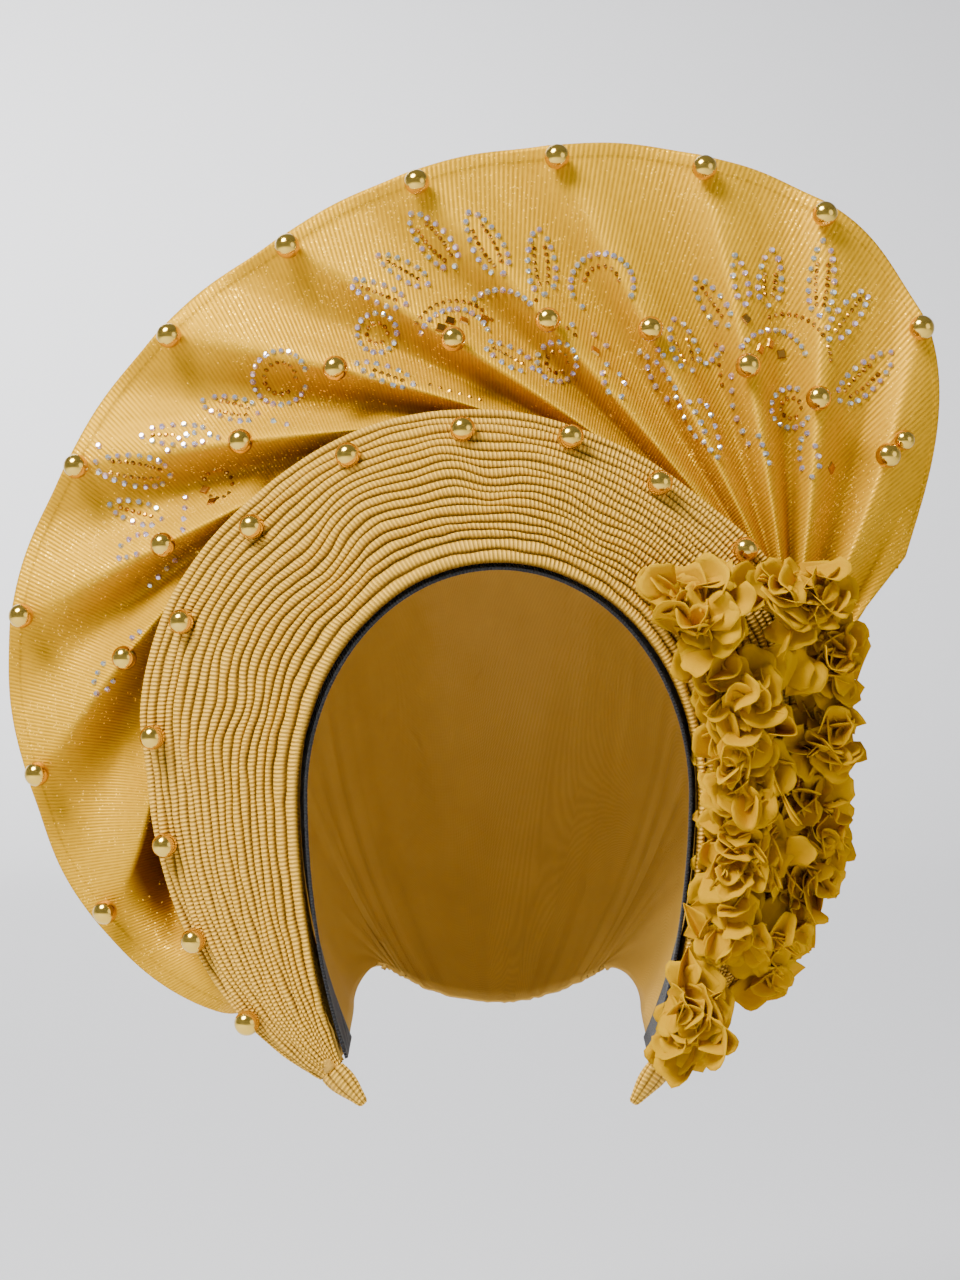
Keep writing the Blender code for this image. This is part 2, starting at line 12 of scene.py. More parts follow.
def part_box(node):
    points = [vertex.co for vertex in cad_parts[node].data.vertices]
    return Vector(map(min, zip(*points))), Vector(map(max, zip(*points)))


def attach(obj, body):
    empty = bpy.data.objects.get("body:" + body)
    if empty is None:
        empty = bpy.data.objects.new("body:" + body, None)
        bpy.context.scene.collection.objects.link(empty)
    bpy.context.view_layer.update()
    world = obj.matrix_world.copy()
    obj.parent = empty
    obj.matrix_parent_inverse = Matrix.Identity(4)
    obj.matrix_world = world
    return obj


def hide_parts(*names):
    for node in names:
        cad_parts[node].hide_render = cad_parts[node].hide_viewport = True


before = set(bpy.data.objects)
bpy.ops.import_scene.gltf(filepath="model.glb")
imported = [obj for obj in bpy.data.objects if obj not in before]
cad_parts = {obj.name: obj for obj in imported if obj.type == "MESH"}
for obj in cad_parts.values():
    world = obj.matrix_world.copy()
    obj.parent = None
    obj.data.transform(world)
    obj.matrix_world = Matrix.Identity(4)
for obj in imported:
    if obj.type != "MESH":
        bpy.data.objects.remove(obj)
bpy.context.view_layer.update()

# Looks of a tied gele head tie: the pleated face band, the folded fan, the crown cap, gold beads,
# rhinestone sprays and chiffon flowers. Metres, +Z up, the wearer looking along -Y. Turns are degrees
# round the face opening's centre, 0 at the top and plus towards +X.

bl_info = {
    "name": "Tied gele head tie",
    "version": (1, 0, 0),
    "blender": (4, 5, 0),
    "location": "3D View > Sidebar > Gele",
    "description": "Cloth, beads, rhinestones, flowers and studio of a tied gele head tie",
    "category": "Object",
}

# Sizes shared with the solid parts
HEAD_HALF_HEIGHT = 0.1125
HEAD_HALF_DEPTH = 0.0965
OPENING_HALF_WIDTH = 0.069
OPENING_RISE = 0.082
OPENING_DROP = 0.152
TEMPLE_ROOM = 0.0055
CAP_WALL = 0.0015
CAP_SETBACK = 0.0036
NAPE_HALF_WIDTH = 0.050
INNER_BAND_WIDTH = 0.013
INNER_BAND_WALL = 0.001
INNER_BAND_SHOW = 0.0042
SEAM_GAP = 0.0005
BAND_REACH = 0.1385
BAND_FORWARD = 0.074
BAND_BOW = 0.003
BAND_WALL = 0.0024
PLEAT_WAVE = 0.0032
CUFF_LENGTH = 0.015
CUFF_WIDTH = 0.011
CUFF_THICKNESS = 0.006
FAN_REACH = 0.239
FAN_HEM = 0.006
FAN_WALL = 0.0015
FAN_TUCK = 0.0045
FAN_SETBACK = 0.0052
FOLD_DEPTH = 0.016
FOLD_ARCH = 0.002
RIM_BULGE = 0.0013
VALLEY_SHARE = 0.60
MIDDLE_OF_FALL = 0.45
BEAD_RADIUS = 0.0045
SMALL_BEAD_RADIUS = 0.0037

NAPE_TURN = 0.66
NAPE_BACK = 0.62
NAPE_DROP = 0.72
CROWN_BACK = 0.55
CROWN_RISE = 1.45
SIDE_SWELL = 1.25
SIDE_DROP = 0.80
EDGE_SETTLE = 0.25

FACE_CENTRE = np.array((0.0, 0.0, -HEAD_HALF_HEIGHT))
HEAD_HALF_WIDTH = OPENING_HALF_WIDTH + TEMPLE_ROOM

# Band sections from the left jaw over the brow to the right jaw. Reach is a share of BAND_REACH, and
# the two forward columns are shares of BAND_FORWARD, at the opening's edge and the outer edge.
Section = namedtuple("Section", "name opening_turn edge_turn reach opening_forward edge_forward")
BAND_SECTIONS = (
    Section("left_end", -127.0, -147.7, 0.846, 0.51, 0.41),
    Section("left_jaw", -119.0, -132.0, 0.866, 0.53, 0.30),
    Section("left_cheek", -106.0, -112.4, 0.880, 0.57, 0.19),
    Section("left_side", -90.0, -90.0, 0.904, 0.65, 0.16),
    Section("left_temple", -72.0, -74.9, 0.954, 0.74, 0.22),
    Section("left_brow", -54.0, -56.0, 0.989, 0.84, 0.28),
    Section("upper_left", -38.0, -38.0, 0.993, 0.92, 0.36),
    Section("top_left", -20.0, -20.0, 1.000, 0.98, 0.46),
    Section("top", 0.0, 0.0, 0.982, 1.00, 0.51),
    Section("top_right", 20.0, 20.0, 0.942, 0.98, 0.53),
    Section("upper_right", 38.0, 38.0, 0.913, 0.92, 0.53),
    Section("right_brow", 54.0, 54.0, 0.910, 0.84, 0.50),
    Section("right_temple", 72.0, 72.0, 0.848, 0.74, 0.41),
    Section("right_side", 90.0, 90.0, 0.780, 0.65, 0.32),
    Section("right_cheek", 106.0, 112.0, 0.773, 0.57, 0.30),
    Section("right_jaw", 119.0, 132.0, 0.794, 0.53, 0.35),
    Section("right_end", 127.0, 147.7, 0.816, 0.51, 0.43),
)

# Places where the pleats swerve: push is a share of PLEAT_WAVE towards the outer edge.
Swerve = namedtuple("Swerve", "name turn across push turn_spread across_spread")
PLEAT_SWERVES = (
    Swerve("brow_crest", -9.0, 0.58, 0.6, 4.0, 0.22),
    Swerve("brow_trough", -1.5, 0.55, -0.7, 5.0, 0.25),
    Swerve("upper_left_rise", -26.0, 0.48, 0.9, 7.0, 0.25),
    Swerve("upper_left_dip", -39.0, 0.45, -1.0, 8.0, 0.28),
    Swerve("left_kink", -72.0, 0.42, -0.8, 6.0, 0.25),
    Swerve("right_dip", 22.0, 0.40, -0.7, 6.0, 0.25),
)

# Fan folds from the left end to the right end, one crest a row. Rim reach is a share of FAN_REACH,
# middle a share of the crest's length, bow a share of it sideways, rim forward a share of
# BAND_FORWARD, and the last three are shares of FOLD_DEPTH.
Fold = namedtuple(
    "Fold", "name tail_turn rim_turn rim_reach middle bow rim_forward tail_fall middle_fall rim_fall"
)
FAN_FOLDS = (
    Fold("left_end", -125.0, -128.6, 0.510, 0.50, 0.000, 0.15, 0.90, 1.05, 0.15),
    Fold("fold_01", -75.0, -106.8, 0.627, 0.67, 0.077, -0.04, 1.00, 1.05, 0.30),
    Fold("fold_02", -41.6, -87.5, 0.703, 0.557, -0.016, 0.00, 0.50, 0.85, 0.35),
    Fold("fold_03", -33.8, -69.4, 0.772, 0.459, 0.000, 0.06, 0.80, 0.95, 0.35),
    Fold("fold_04", -10.0, -52.0, 0.808, 0.527, -0.012, 0.11, 0.70, 0.95, 0.38),
    Fold("fold_05", 14.1, -35.5, 0.851, 0.600, -0.022, 0.16, 0.60, 0.90, 0.38),
    Fold("fold_06", 32.0, -20.9, 0.884, 0.590, -0.022, 0.19, 0.60, 0.90, 0.35),
    Fold("fold_07", 52.0, -7.5, 0.928, 0.640, -0.012, 0.22, 0.30, 0.80, 0.35),
    Fold("fold_08", 55.0, 5.3, 0.962, 0.600, -0.009, 0.22, 0.30, 0.75, 0.30),
    Fold("fold_09", 58.0, 18.2, 0.991, 0.550, -0.010, 0.22, 0.30, 0.70, 0.30),
    Fold("fold_10", 61.0, 29.3, 1.000, 0.556, -0.013, 0.22, 0.30, 0.65, 0.28),
    Fold("fold_11", 66.0, 42.1, 0.946, 0.626, -0.030, 0.22, 0.25, 0.40, 0.20),
    Fold("right_end", 70.0, 60.3, 0.690, 0.50, 0.000, 0.22, 0.00, 0.00, 0.00),
)

# Finer cloth than the solids show
WIDE_ROPES = 2
WIDE_ROPE = 0.0043
ROPES = 18
ROPE_STEPS = 8
ROPE_HEIGHT = 0.0022
ROPE_SLIMNESS = 0.66
ROPE_WANDER = 0.0008
BAND_ROWS = 236
FAN_COLUMNS = 22
FAN_ROWS = 118
HEM_STEP = 0.0004
CREASE = 0.62
WRINKLE = 0.0007
# Painted shade in the fan's folds, beside the band and in the first pocket
FOLD_SHADE = 0.9
TUCK_SHADE = 0.7
TUCK_WIDTH = 0.006
POCKET_SHADE = 1.4
POCKET_SHARE = 0.45
POCKET_END = 0.90
CAP_COLUMNS = 90
CAP_ROWS = 64
GATHER_DEPTH = 0.0011
CAP_EDGE_REACH = 0.0008
CAP_EDGE_FLARE = 0.0036
CAP_EDGE_RUN = 0.05
CUFF_RIDGES = 8
CUFF_SEGMENTS = 64
CUFF_RINGS = 14
CUFF_LEAD = 0.3
CUFF_TAPER = 0.62
CUFF_THINNING = 0.5
STRETCH_ROWS = 8
HEM_PROBE = 0.05
GATHER_START = 0.15
GATHER_RUN = 0.3
HEM_EDGE = 0.0008
WRINKLE_START = 0.12
WRINKLE_END = 0.01
# Where the painted fold shade lies across a fold and how far along it runs
SHADE_PLACE = 0.72
SHADE_SPREAD = 0.22
SHADE_END = 1.25
TUCK_FOLDS = 4
ROPE_ROUNDNESS = 0.62
# Painted light share of the ropes that swell least
LOW_ROPE_LIGHT = 0.35
HALVINGS = 30
SLOPE_STEP = 0.01

# Noise over the cloth: how fast it changes along and across, which noise it is and how much it counts.
NoiseLayer = namedtuple("NoiseLayer", "along across seed weight")
WANDER_NOISE = (NoiseLayer(2.3, 0.9, 0.0, 1.0), NoiseLayer(5.1, 2.7, 4.0, 0.6))
SWELL_NOISE = (NoiseLayer(1.3, 1.7, 9.0, 0.55),)
DRAG_NOISE = (NoiseLayer(4.3, 1.6, 2.0, 1.0), NoiseLayer(9.7, 3.1, 7.0, 0.5))
GATHER_NOISE = (NoiseLayer(0.16, 1.3, 1.0, 1.0), NoiseLayer(0.41, 2.1, 5.0, 0.6))

# Weave and stitches
RIB_REACH = 0.82
STITCH_PLACE = 0.92
STITCH_WIDTH = 0.0005
STITCH_SHARE = 0.72
STITCH_SHADE = 0.22
RIB_SLANT = 0.35
# Painted light on the tops of the band's ribs and painted shade between them
RIB_LIGHT = 0.60
GROOVE_LIGHT = 0.42
WEAR = 0.25
PLAIN_THREAD = 0.0011
KNIT_RIB = 0.0012
# Painted shade in the grooves between the knit's ribs
KNIT_GROOVE_SHADE = (0.002, 0.002, 0.002)

# The camera stands where the photograph was taken, and a pixel of its 960 x 1280 frame is a direction.
CAMERA_PLACE = Vector((-0.0063, -0.838, -0.0563))
CAMERA_LENS = 64.3
SENSOR = 36.0
PHOTO_WIDTH = 960
PHOTO_HEIGHT = 1280
PIXEL_SLOPE = SENSOR / CAMERA_LENS / PHOTO_HEIGHT
FAN_DISTANCE = 0.8
PIXELS_PER_MM = 1 / (PIXEL_SLOPE * 1000 * FAN_DISTANCE)
FLOOR_LIGHT_SHARE = 3.9

# Rhinestone leaves on the fan: a pixel for the centre, the length and width in millimetres, the
# degrees that the leaf's axis is turned from level, plus clockwise as seen from the front, and
# whether small gold studs lie inside it.
Leaf = namedtuple("Leaf", "px py length width tilt studs")
LEAVES = (
    Leaf(176, 435, 24.0, 8.4, 0, True),
    Leaf(132, 470, 27.0, 12.5, 8, True),
    Leaf(136, 512, 19.0, 9.0, 16, True),
    Leaf(133, 547, 14.0, 7.0, -28, False),
    Leaf(230, 408, 20.0, 9.5, 12, True),
    Leaf(385, 374, 21.0, 6.3, 20, True),
    Leaf(108, 672, 17.0, 7.0, 118, False),
    Leaf(433, 240, 24.0, 12.0, 50, True),
    Leaf(486, 243, 24.5, 12.0, 60, True),
    Leaf(541, 262, 23.0, 11.5, 84, True),
    Leaf(403, 270, 20.0, 7.7, 30, True),
    Leaf(378, 293, 21.0, 7.7, 22, True),
    Leaf(508, 356, 19.0, 7.5, 28, True),
    Leaf(613, 381, 12.6, 7.5, 62, False),
    Leaf(712, 302, 20.0, 9.0, 55, True),
    Leaf(740, 280, 17.5, 5.6, 78, False),
    Leaf(770, 278, 19.5, 9.8, 94, True),
    Leaf(822, 278, 26.5, 10.5, 94, True),
    Leaf(848, 315, 21.5, 9.0, 128, True),
    Leaf(866, 377, 25.0, 11.5, 138, True),
    Leaf(809, 455, 15.5, 7.5, 82, False),
    Leaf(690, 415, 21.5, 5.0, 62, False),
    Leaf(709, 428, 21.5, 5.0, 74, False),
    Leaf(683, 345, 19.0, 10.0, 70, True),
    Leaf(660, 378, 17.0, 6.5, 60, False),
)

# Rings and open arcs of stones: centre pixel, radius in millimetres, first and last degree
# anticlockwise from the right, and the kind of stone.
Arc = namedtuple("Arc", "px py radius first last kind")
ARCS = (
    Arc(280, 378, 9.5, 20, 340, "crystal"),
    Arc(280, 378, 5.5, 0, 300, "stud"),
    Arc(218, 484, 5.0, 0, 320, "stud"),
    Arc(200, 470, 13.0, 60, 200, "crystal"),
    Arc(602, 285, 11.0, -20, 200, "crystal"),
    Arc(602, 283, 6.0, 10, 170, "stud"),
    Arc(377, 333, 7.0, 0, 330, "crystal"),
    Arc(377, 333, 3.6, 0, 300, "stud"),
    Arc(455, 345, 15.5, 35, 150, "stud"),
    Arc(455, 345, 12.5, 25, 160, "crystal"),
    Arc(500, 330, 14.0, 30, 130, "crystal"),
    Arc(557, 362, 7.0, -200, 130, "crystal"),
    Arc(557, 362, 3.8, 0, 300, "stud"),
    Arc(791, 408, 7.0, 0, 330, "crystal"),
    Arc(791, 408, 3.6, 0, 300, "stud"),
    Arc(772, 366, 12.5, 20, 160, "crystal"),
    Arc(785, 360, 16.0, 0, 110, "stud"),
    Arc(690, 330, 13.0, 200, 330, "crystal"),
)

# Lines of stones between two pixels, and single square studs.
Line = namedtuple("Line", "px py end_px end_py count kind")
LINES = (
    Line(186, 498, 183, 530, 4, "crystal"),
    Line(260, 418, 287, 425, 3, "crystal"),
    Line(249, 370, 251, 395, 3, "crystal"),
    Line(99, 446, 106, 457, 2, "crystal"),
    Line(562, 343, 582, 307, 3, "crystal"),
    Line(594, 335, 606, 346, 2, "crystal"),
    Line(731, 361, 733, 406, 4, "crystal"),
    Line(737, 419, 749, 444, 3, "crystal"),
    Line(759, 436, 769, 463, 4, "crystal"),
    Line(640, 352, 664, 402, 5, "crystal"),
    Line(536, 300, 575, 335, 6, "stud"),
    Line(716, 345, 722, 385, 5, "stud"),
    Line(430, 385, 480, 400, 6, "stud"),
    Line(150, 585, 175, 560, 4, "crystal"),
    Line(118, 650, 140, 632, 4, "crystal"),
)
Stud = namedtuple("Stud", "px py")
SQUARE_STUDS = (
    Stud(441, 328), Stud(450, 321), Stud(464, 321), Stud(484, 319), Stud(595, 351), Stud(760, 349),
    Stud(781, 354), Stud(831, 468), Stud(746, 319), Stud(205, 490), Stud(212, 502), Stud(770, 344),
)

# Spacing of the stones in millimetres, the room in pixels that they keep, and their cuts in metres
CRYSTAL_SPACING = 2.8
STUD_SPACING = 2.4
CRYSTAL_ROOM = 7.4
STUD_ROOM = 5.6
BEAD_ROOM = 11
LEAF_EDGE = 1.85
WIDE_LEAF = 9
StoneCut = namedtuple("StoneCut", "height sides top seed")
CRYSTAL_CUT = StoneCut(0.0011, 10, 0.6, 11)
STUD_CUT = StoneCut(0.0007, 8, 0.45, 12)
SQUARE_CUT = StoneCut(0.0008, 4, 0.8, 13)
BEAD_SEGMENTS = 28
BEAD_RINGS = 18

# Layers of one chiffon flower, from the cloth outwards: length and scatter in metres, half the
# angle that a petal spreads over and its tilt up from the cloth in degrees, the bend along its
# middle in radians and its ruffle as a share of its length. The last two layers are petals strewn
# between the flowers and loose threads.
PetalLayer = namedtuple("PetalLayer", "petals length spread tilt bend ruffle scatter")
PETAL_LAYERS = (
    PetalLayer(9, 0.0170, 42.0, 3.0, 0.08, 0.04, 0.0100),
    PetalLayer(9, 0.0165, 40.0, 15.0, 0.12, 0.05, 0.0120),
    PetalLayer(9, 0.0155, 38.0, 30.0, 0.18, 0.07, 0.0130),
    PetalLayer(5, 0.0135, 36.0, 62.0, 0.35, 0.10, 0.0120),
    PetalLayer(12, 0.0155, 38.0, 20.0, 0.22, 0.07, 0.0180),
    PetalLayer(4, 0.0190, 4.0, 22.0, 0.00, 0.10, 0.0140),
)
PETAL_COLUMNS = 10
PETAL_ROWS = 8
PETAL_WALL = 0.00028
FLOWER_MIDDLE_X = 0.085
FLOWER_HALF_WIDTH = 0.022
FLOWER_MIDDLE_Z = -0.125
FLOWER_HALF_HEIGHT = 0.075
FLOWER_MARGIN = 0.0045
MARGIN_END_Z = -0.165
CLUSTER_EDGE_X = 0.121
CLUSTER_TOP_Z = -0.034
FAN_END_Z = -0.078
PETAL_DROOP = 0.007
CLUSTER_BEND_Z = -0.140
CLUSTER_SLANT = 0.70
PETAL_TURNS = (0.0, 1.6, -1.6, math.pi)
PETAL_ROLL = 0.35
PETAL_TILT_SPREAD = 17
PETAL_BASE = 0.0008
PETAL_RISE = 0.0060
PETAL_STACK = 0.004
PETAL_REACH = 0.9
FLOWER_SEED = 400
FLOWER_YAW = 32
FLOWER_PITCH = 26
FLOWER_WANDER = 16


def hex_colour(code):
    """Linear colour of an sRGB hex value."""
    parts = [int(code[start:start + 2], 16) / 255 for start in (1, 3, 5)]
    return tuple(part / 12.92 if part <= 0.04045 else ((part + 0.055) / 1.055) ** 2.4 for part in parts)


def colour_setting(name, description, code):
    return bpy.props.FloatVectorProperty(
        name=name, description=description, size=3, subtype="COLOR", default=hex_colour(code)
    )


def length_setting(name, description, default, **limits):
    return bpy.props.FloatProperty(
        name=name, description=description, default=default, unit="LENGTH", subtype="DISTANCE",
        precision=5, **limits
    )


def power_setting(name, description, default):
    return bpy.props.FloatProperty(name=name, description=description, default=default, unit="POWER")


class GeleClothSettings(bpy.types.PropertyGroup):
    """Weave and colours of the cloth"""

    rib_spacing: length_setting("Rib spacing", "Distance between the fan's woven ribs", 0.0015, min=0.0005)
    pleat_rib_spacing: length_setting(
        "Pleat rib spacing", "Distance between the ribs along a pleat", 0.0015, min=0.0005
    )
    stitch_length: length_setting(
        "Stitch length", "Length of a hem stitch and its gap", 0.003, min=0.001
    )
    fan_colour: colour_setting("Fan cloth", "Raised ribs of the fan cloth", "#DCA612")
    # Painted shade in the grooves between the fan's ribs
    fan_groove_shade: colour_setting("Fan grooves", "Cloth between the fan's ribs", "#AC7A08")
    # Painted shade deep in the fan's folds, beside the band and in the first pocket
    fold_shade_colour: colour_setting("Fan folds", "Cloth deep in the fan's folds", "#6E3C06")
    pleat_colour: colour_setting("Pleats", "Raised ribs of the pleated band", "#FCC648")
    # Painted shade in the grooves between the band's ribs and pleats, and on the fan's hem stitches
    pleat_groove_shade: colour_setting("Pleat grooves", "Cloth between the band's ribs and pleats", "#5E3706")
    # Metal thread: its specks are painted in this lighter colour as glints, and it also tints the fan's
    # gloss
    lurex_glint_colour: colour_setting("Metal thread", "Specks of metal thread in the weave", "#FFC83A")
    lining_colour: colour_setting("Cap", "Plain side of the cloth, on the cap", "#D2A442")
    # Painted shade between the cap's threads
    lining_shade: colour_setting("Cap weave", "Cloth between the threads of the cap", "#946C20")
    stretch_colour: colour_setting("Stretch band", "Knitted stretch band inside the opening", "#17161A")


class GeleTrimSettings(bpy.types.PropertyGroup):
    """Sizes and colours of the beads, stones and flowers"""

    crystal_radius: length_setting(
        "Crystal radius", "Radius of a flat-backed rhinestone", 0.00125, min=0.0005
    )
    stud_radius: length_setting("Stud radius", "Radius of a small round gold stud", 0.00098, min=0.0003)
    square_side: length_setting("Square stud side", "Side of a square gold stud", 0.0034, min=0.001)
    bead_colour: colour_setting("Beads", "Gold plating of the beads", "#E4BE52")
    crystal_colour: colour_setting("Crystals", "Clear coated rhinestones", "#D2C8D4")
    stud_shade: colour_setting("Worn studs", "Darkest of the gold studs", "#8A5A1E")
    stud_colour: colour_setting("Bright studs", "Brightest of the gold studs", "#D6A548")
    chiffon_colour: colour_setting("Chiffon", "Lit petals of the flowers", "#C29404")
    # Painted shade at the petals' roots near each flower's heart
    chiffon_shade: colour_setting("Chiffon hearts", "Petals near a flower's heart", "#AE7A04")


class GeleStudioSettings(bpy.types.PropertyGroup):
    """Light and floor"""

    floor_drop: length_setting("Floor", "Height of the floor under the part's origin", -0.42)
    key_power: power_setting("Key light", "Power of the large light above on the left", 98.0)
    fill_power: power_setting("Fill light", "Power of the light on the right", 7.0)
    paper_colour: colour_setting("Paper", "Pale paper of the floor", "#E8E8EA")
    room_colour: colour_setting("Room", "Light that the room sends back", "#E4E6EC")


def row_before(place, rows):
    """Number of the row at or before each place, for a table of ROWS rows."""
    return np.clip(np.floor(place).astype(int), 0, rows - 2)


def eased(values, place):
    """Values at PLACE, row numbers with fractions, on a smooth line that is flat where it turns round."""
    values = np.asarray(values, float)
    steps = np.diff(values)
    slopes = np.concatenate((steps[:1], np.zeros(len(steps) - 1), steps[-1:]))
    runs_on = steps[:-1] * steps[1:] > 0
    both = np.where(runs_on, steps[:-1] + steps[1:], 1.0)
    slopes[1:-1] = np.where(runs_on, 2 * steps[:-1] * steps[1:] / both, 0.0)
    row = row_before(place, len(values))
    share = place - row
    rise = (3 - 2 * share) * share**2
    leave = slopes[row] * share * (1 - share) ** 2
    arrive = slopes[row + 1] * share**2 * (1 - share)
    return values[row] + steps[row] * rise + leave - arrive


def column(table, name, place):
    return eased([getattr(row, name) for row in table], np.asarray(place, float))


def unit(ways):
    return ways / np.linalg.norm(ways, axis=-1, keepdims=True)


def polar(turn, reach):
    angle = np.radians(turn)
    return np.stack((reach * np.sin(angle), 0.0 * angle, reach * np.cos(angle)), axis=-1)


def opening_edge(turn):
    """The opening is half an ellipse above its centre and a longer half below."""
    angle = np.radians(turn)
    rise = np.where(np.abs(turn) < 90, OPENING_RISE, OPENING_DROP)
    return np.stack((OPENING_HALF_WIDTH * np.sin(angle), 0.0 * angle, rise * np.cos(angle)), axis=-1)


def edge_place(turn):
    """Row numbers along the band where its outer edge has these turns."""
    low = np.zeros_like(turn)
    high = np.full_like(turn, len(BAND_SECTIONS) - 1.0)
    for _ in range(HALVINGS):
        middle = (low + high) / 2
        before = column(BAND_SECTIONS, "edge_turn", middle) < turn
        low = np.where(before, middle, low)
        high = np.where(before, high, middle)
    return low


def swerved(turn, across):
    """Shares across the band once its pleats have swerved."""
    moved = across + 0.0
    for bend in PLEAT_SWERVES:
        along_fade = ((turn - bend.turn) / bend.turn_spread) ** 2
        fade = along_fade + ((across - bend.across) / bend.across_spread) ** 2
        moved = moved + bend.push * PLEAT_WAVE * np.exp(-fade) / (BAND_REACH - OPENING_RISE)
    return moved


def band_spine(place, across):
    """Points on the smooth front of the band, before its pleats."""
    edge_turn = column(BAND_SECTIONS, "edge_turn", place)
    inner = opening_edge(column(BAND_SECTIONS, "opening_turn", place))
    outer = polar(edge_turn, column(BAND_SECTIONS, "reach", place) * BAND_REACH)
    flat = inner + (outer - inner) * swerved(edge_turn, across)[..., None]
    near = column(BAND_SECTIONS, "opening_forward", place)
    far = column(BAND_SECTIONS, "edge_forward", place)
    forward = (near + (far - near) * across) * BAND_FORWARD + BAND_BOW * 4 * across * (1 - across)
    flat[..., 1] -= forward
    return FACE_CENTRE + flat


def band_across(place):
    """The way from the band's inner edge to its outer edge."""
    return band_spine(place, np.ones_like(place)) - band_spine(place, np.zeros_like(place))


def facing(surface, place, across):
    """Unit normals of a surface, on the side that looks forward."""
    along = surface(place + SLOPE_STEP, across) - surface(place - SLOPE_STEP, across)
    over = surface(place, across + SLOPE_STEP) - surface(place, across - SLOPE_STEP)
    normal = unit(np.cross(along, over))
    return np.where(normal[..., 1:2] > 0, -normal, normal)


def fold_profile(share):
    """How deep the cloth lies between two crests, 0 on a crest and 1 in the valley. Just under the
    upper crest it drops quickly, as cloth does under a creased edge."""
    rising = np.clip(share / VALLEY_SHARE, 0, 1)
    falling = np.clip((1 - share) / (1 - VALLEY_SHARE), 0, 1) ** CREASE
    reach = np.where(share < VALLEY_SHARE, rising, falling)
    return (1 - np.cos(reach * np.pi)) / 2


def fan_front(place, along):
    """Points on the front of the fan: PLACE counts folds, ALONG is 0 at the tail and 1 at the rim bead."""
    tail_place = edge_place(column(FAN_FOLDS, "tail_turn", place))
    tucked = 1 - FAN_TUCK / np.linalg.norm(band_across(tail_place), axis=-1)
    tail = band_spine(tail_place, tucked)
    tail[..., 1] += FAN_SETBACK
    row = row_before(place, len(FAN_FOLDS))
    bulge = RIM_BULGE * np.sin(np.pi * (place - row)) ** 2
    reach = column(FAN_FOLDS, "rim_reach", place) * FAN_REACH + bulge
    rim = FACE_CENTRE + polar(column(FAN_FOLDS, "rim_turn", place), reach)
    rim[..., 1] = -column(FAN_FOLDS, "rim_forward", place) * BAND_FORWARD
    run = rim - tail
    side = np.stack((-run[..., 2], 0.0 * place, run[..., 0]), axis=-1)
    middle = column(FAN_FOLDS, "middle", place)
    sway = column(FAN_FOLDS, "bow", place) * along * (1 - along) / (middle * (1 - middle))
    falls = np.array([(fold.tail_fall, fold.middle_fall, fold.rim_fall) for fold in FAN_FOLDS])[row]
    opening = np.sin(np.clip(along / MIDDLE_OF_FALL, 0, 1) * np.pi / 2)
    closing = (1 + np.cos(np.clip((along - MIDDLE_OF_FALL) / (1 - MIDDLE_OF_FALL), 0, 1) * np.pi)) / 2
    before = falls[..., 0] + (falls[..., 1] - falls[..., 0]) * opening
    after = falls[..., 2] + (falls[..., 1] - falls[..., 2]) * closing
    depth = np.where(along < MIDDLE_OF_FALL, before, after)
    fall = depth * FOLD_DEPTH * fold_profile(place - row)
    made = tail + run * along[..., None] + side * sway[..., None]
    made[..., 1] += fall - FOLD_ARCH * 4 * along * (1 - along)
    return made


def opening_forward(turn):
    """Share of BAND_FORWARD that the opening's edge stands at."""
    turns = np.array([row.opening_turn for row in BAND_SECTIONS])
    row = np.clip(np.searchsorted(turns, turn, side="right") - 1, 0, len(turns) - 2)
    share = (turn - turns[row]) / (turns[row + 1] - turns[row])
    return column(BAND_SECTIONS, "opening_forward", row + share)


def head_point(turn, back, depth=0.0):
    """Points on the outside of the crown cap, or DEPTH inside it.

    BACK is 0 at the face and 1 at the nape."""
    size = np.array((HEAD_HALF_WIDTH, HEAD_HALF_DEPTH + CAP_WALL, HEAD_HALF_HEIGHT + CAP_WALL))
    angle = np.radians(turn)
    start = opening_edge(turn)
    start[..., 1] = CAP_SETBACK - opening_forward(turn) * BAND_FORWARD
    start = start / size
    nape_side = np.sin(angle * NAPE_TURN) * NAPE_HALF_WIDTH / size[0]
    nape = np.stack((nape_side, np.full_like(turn, NAPE_BACK), np.full_like(turn, -NAPE_DROP)), axis=-1)
    rise = np.maximum(CROWN_RISE * np.cos(angle), -SIDE_DROP)
    over = np.stack((SIDE_SWELL * np.sin(angle), np.full_like(turn, CROWN_BACK), rise), axis=-1)
    share = back[..., None]
    way = start * (1 - share) ** 2 + over * 2 * share * (1 - share) + nape * share**2
    settle = np.maximum(0.0, 1 - back / EDGE_SETTLE) ** 2
    radius = 1 + (np.linalg.norm(start, axis=-1) - 1) * settle
    spot = unit(way) * radius[..., None]
    return FACE_CENTRE + spot * size - unit(spot / size) * np.asarray(depth)[..., None]


def photo_way(px, py):
    """Direction from the camera through a pixel of the photograph's frame."""
    across = (px - PHOTO_WIDTH / 2) * PIXEL_SLOPE
    up = (PHOTO_HEIGHT / 2 - py) * PIXEL_SLOPE
    return Vector((across, 1.0, up)).normalized()


def soft_noise(layers, along, across):
    """Sum of LAYERS of smooth noise over two arrays of places."""
    total = 0.0
    for layer in layers:
        flat = np.broadcast_arrays(along * layer.along, across * layer.across, layer.seed)
        values = [noise.noise(Vector(spot)) for spot in zip(*(part.ravel() for part in flat))]
        total = total + layer.weight * np.array(values).reshape(flat[0].shape)
    return total


def rgba(colour):
    return (*colour[:3], 1.0)


def add_node(tree, kind, feeds, output=0, **settings):
    """Add a node and give one of its outputs. SETTINGS are its own properties, and FEEDS gives each
    input a value or an output."""
    made = tree.nodes.new(kind)
    for name, value in settings.items():
        setattr(made, name, value)
    for socket, value in feeds.items():
        if isinstance(value, bpy.types.NodeSocket):
            tree.links.new(value, made.inputs[socket])
        else:
            made.inputs[socket].default_value = value
    return made.outputs[output]


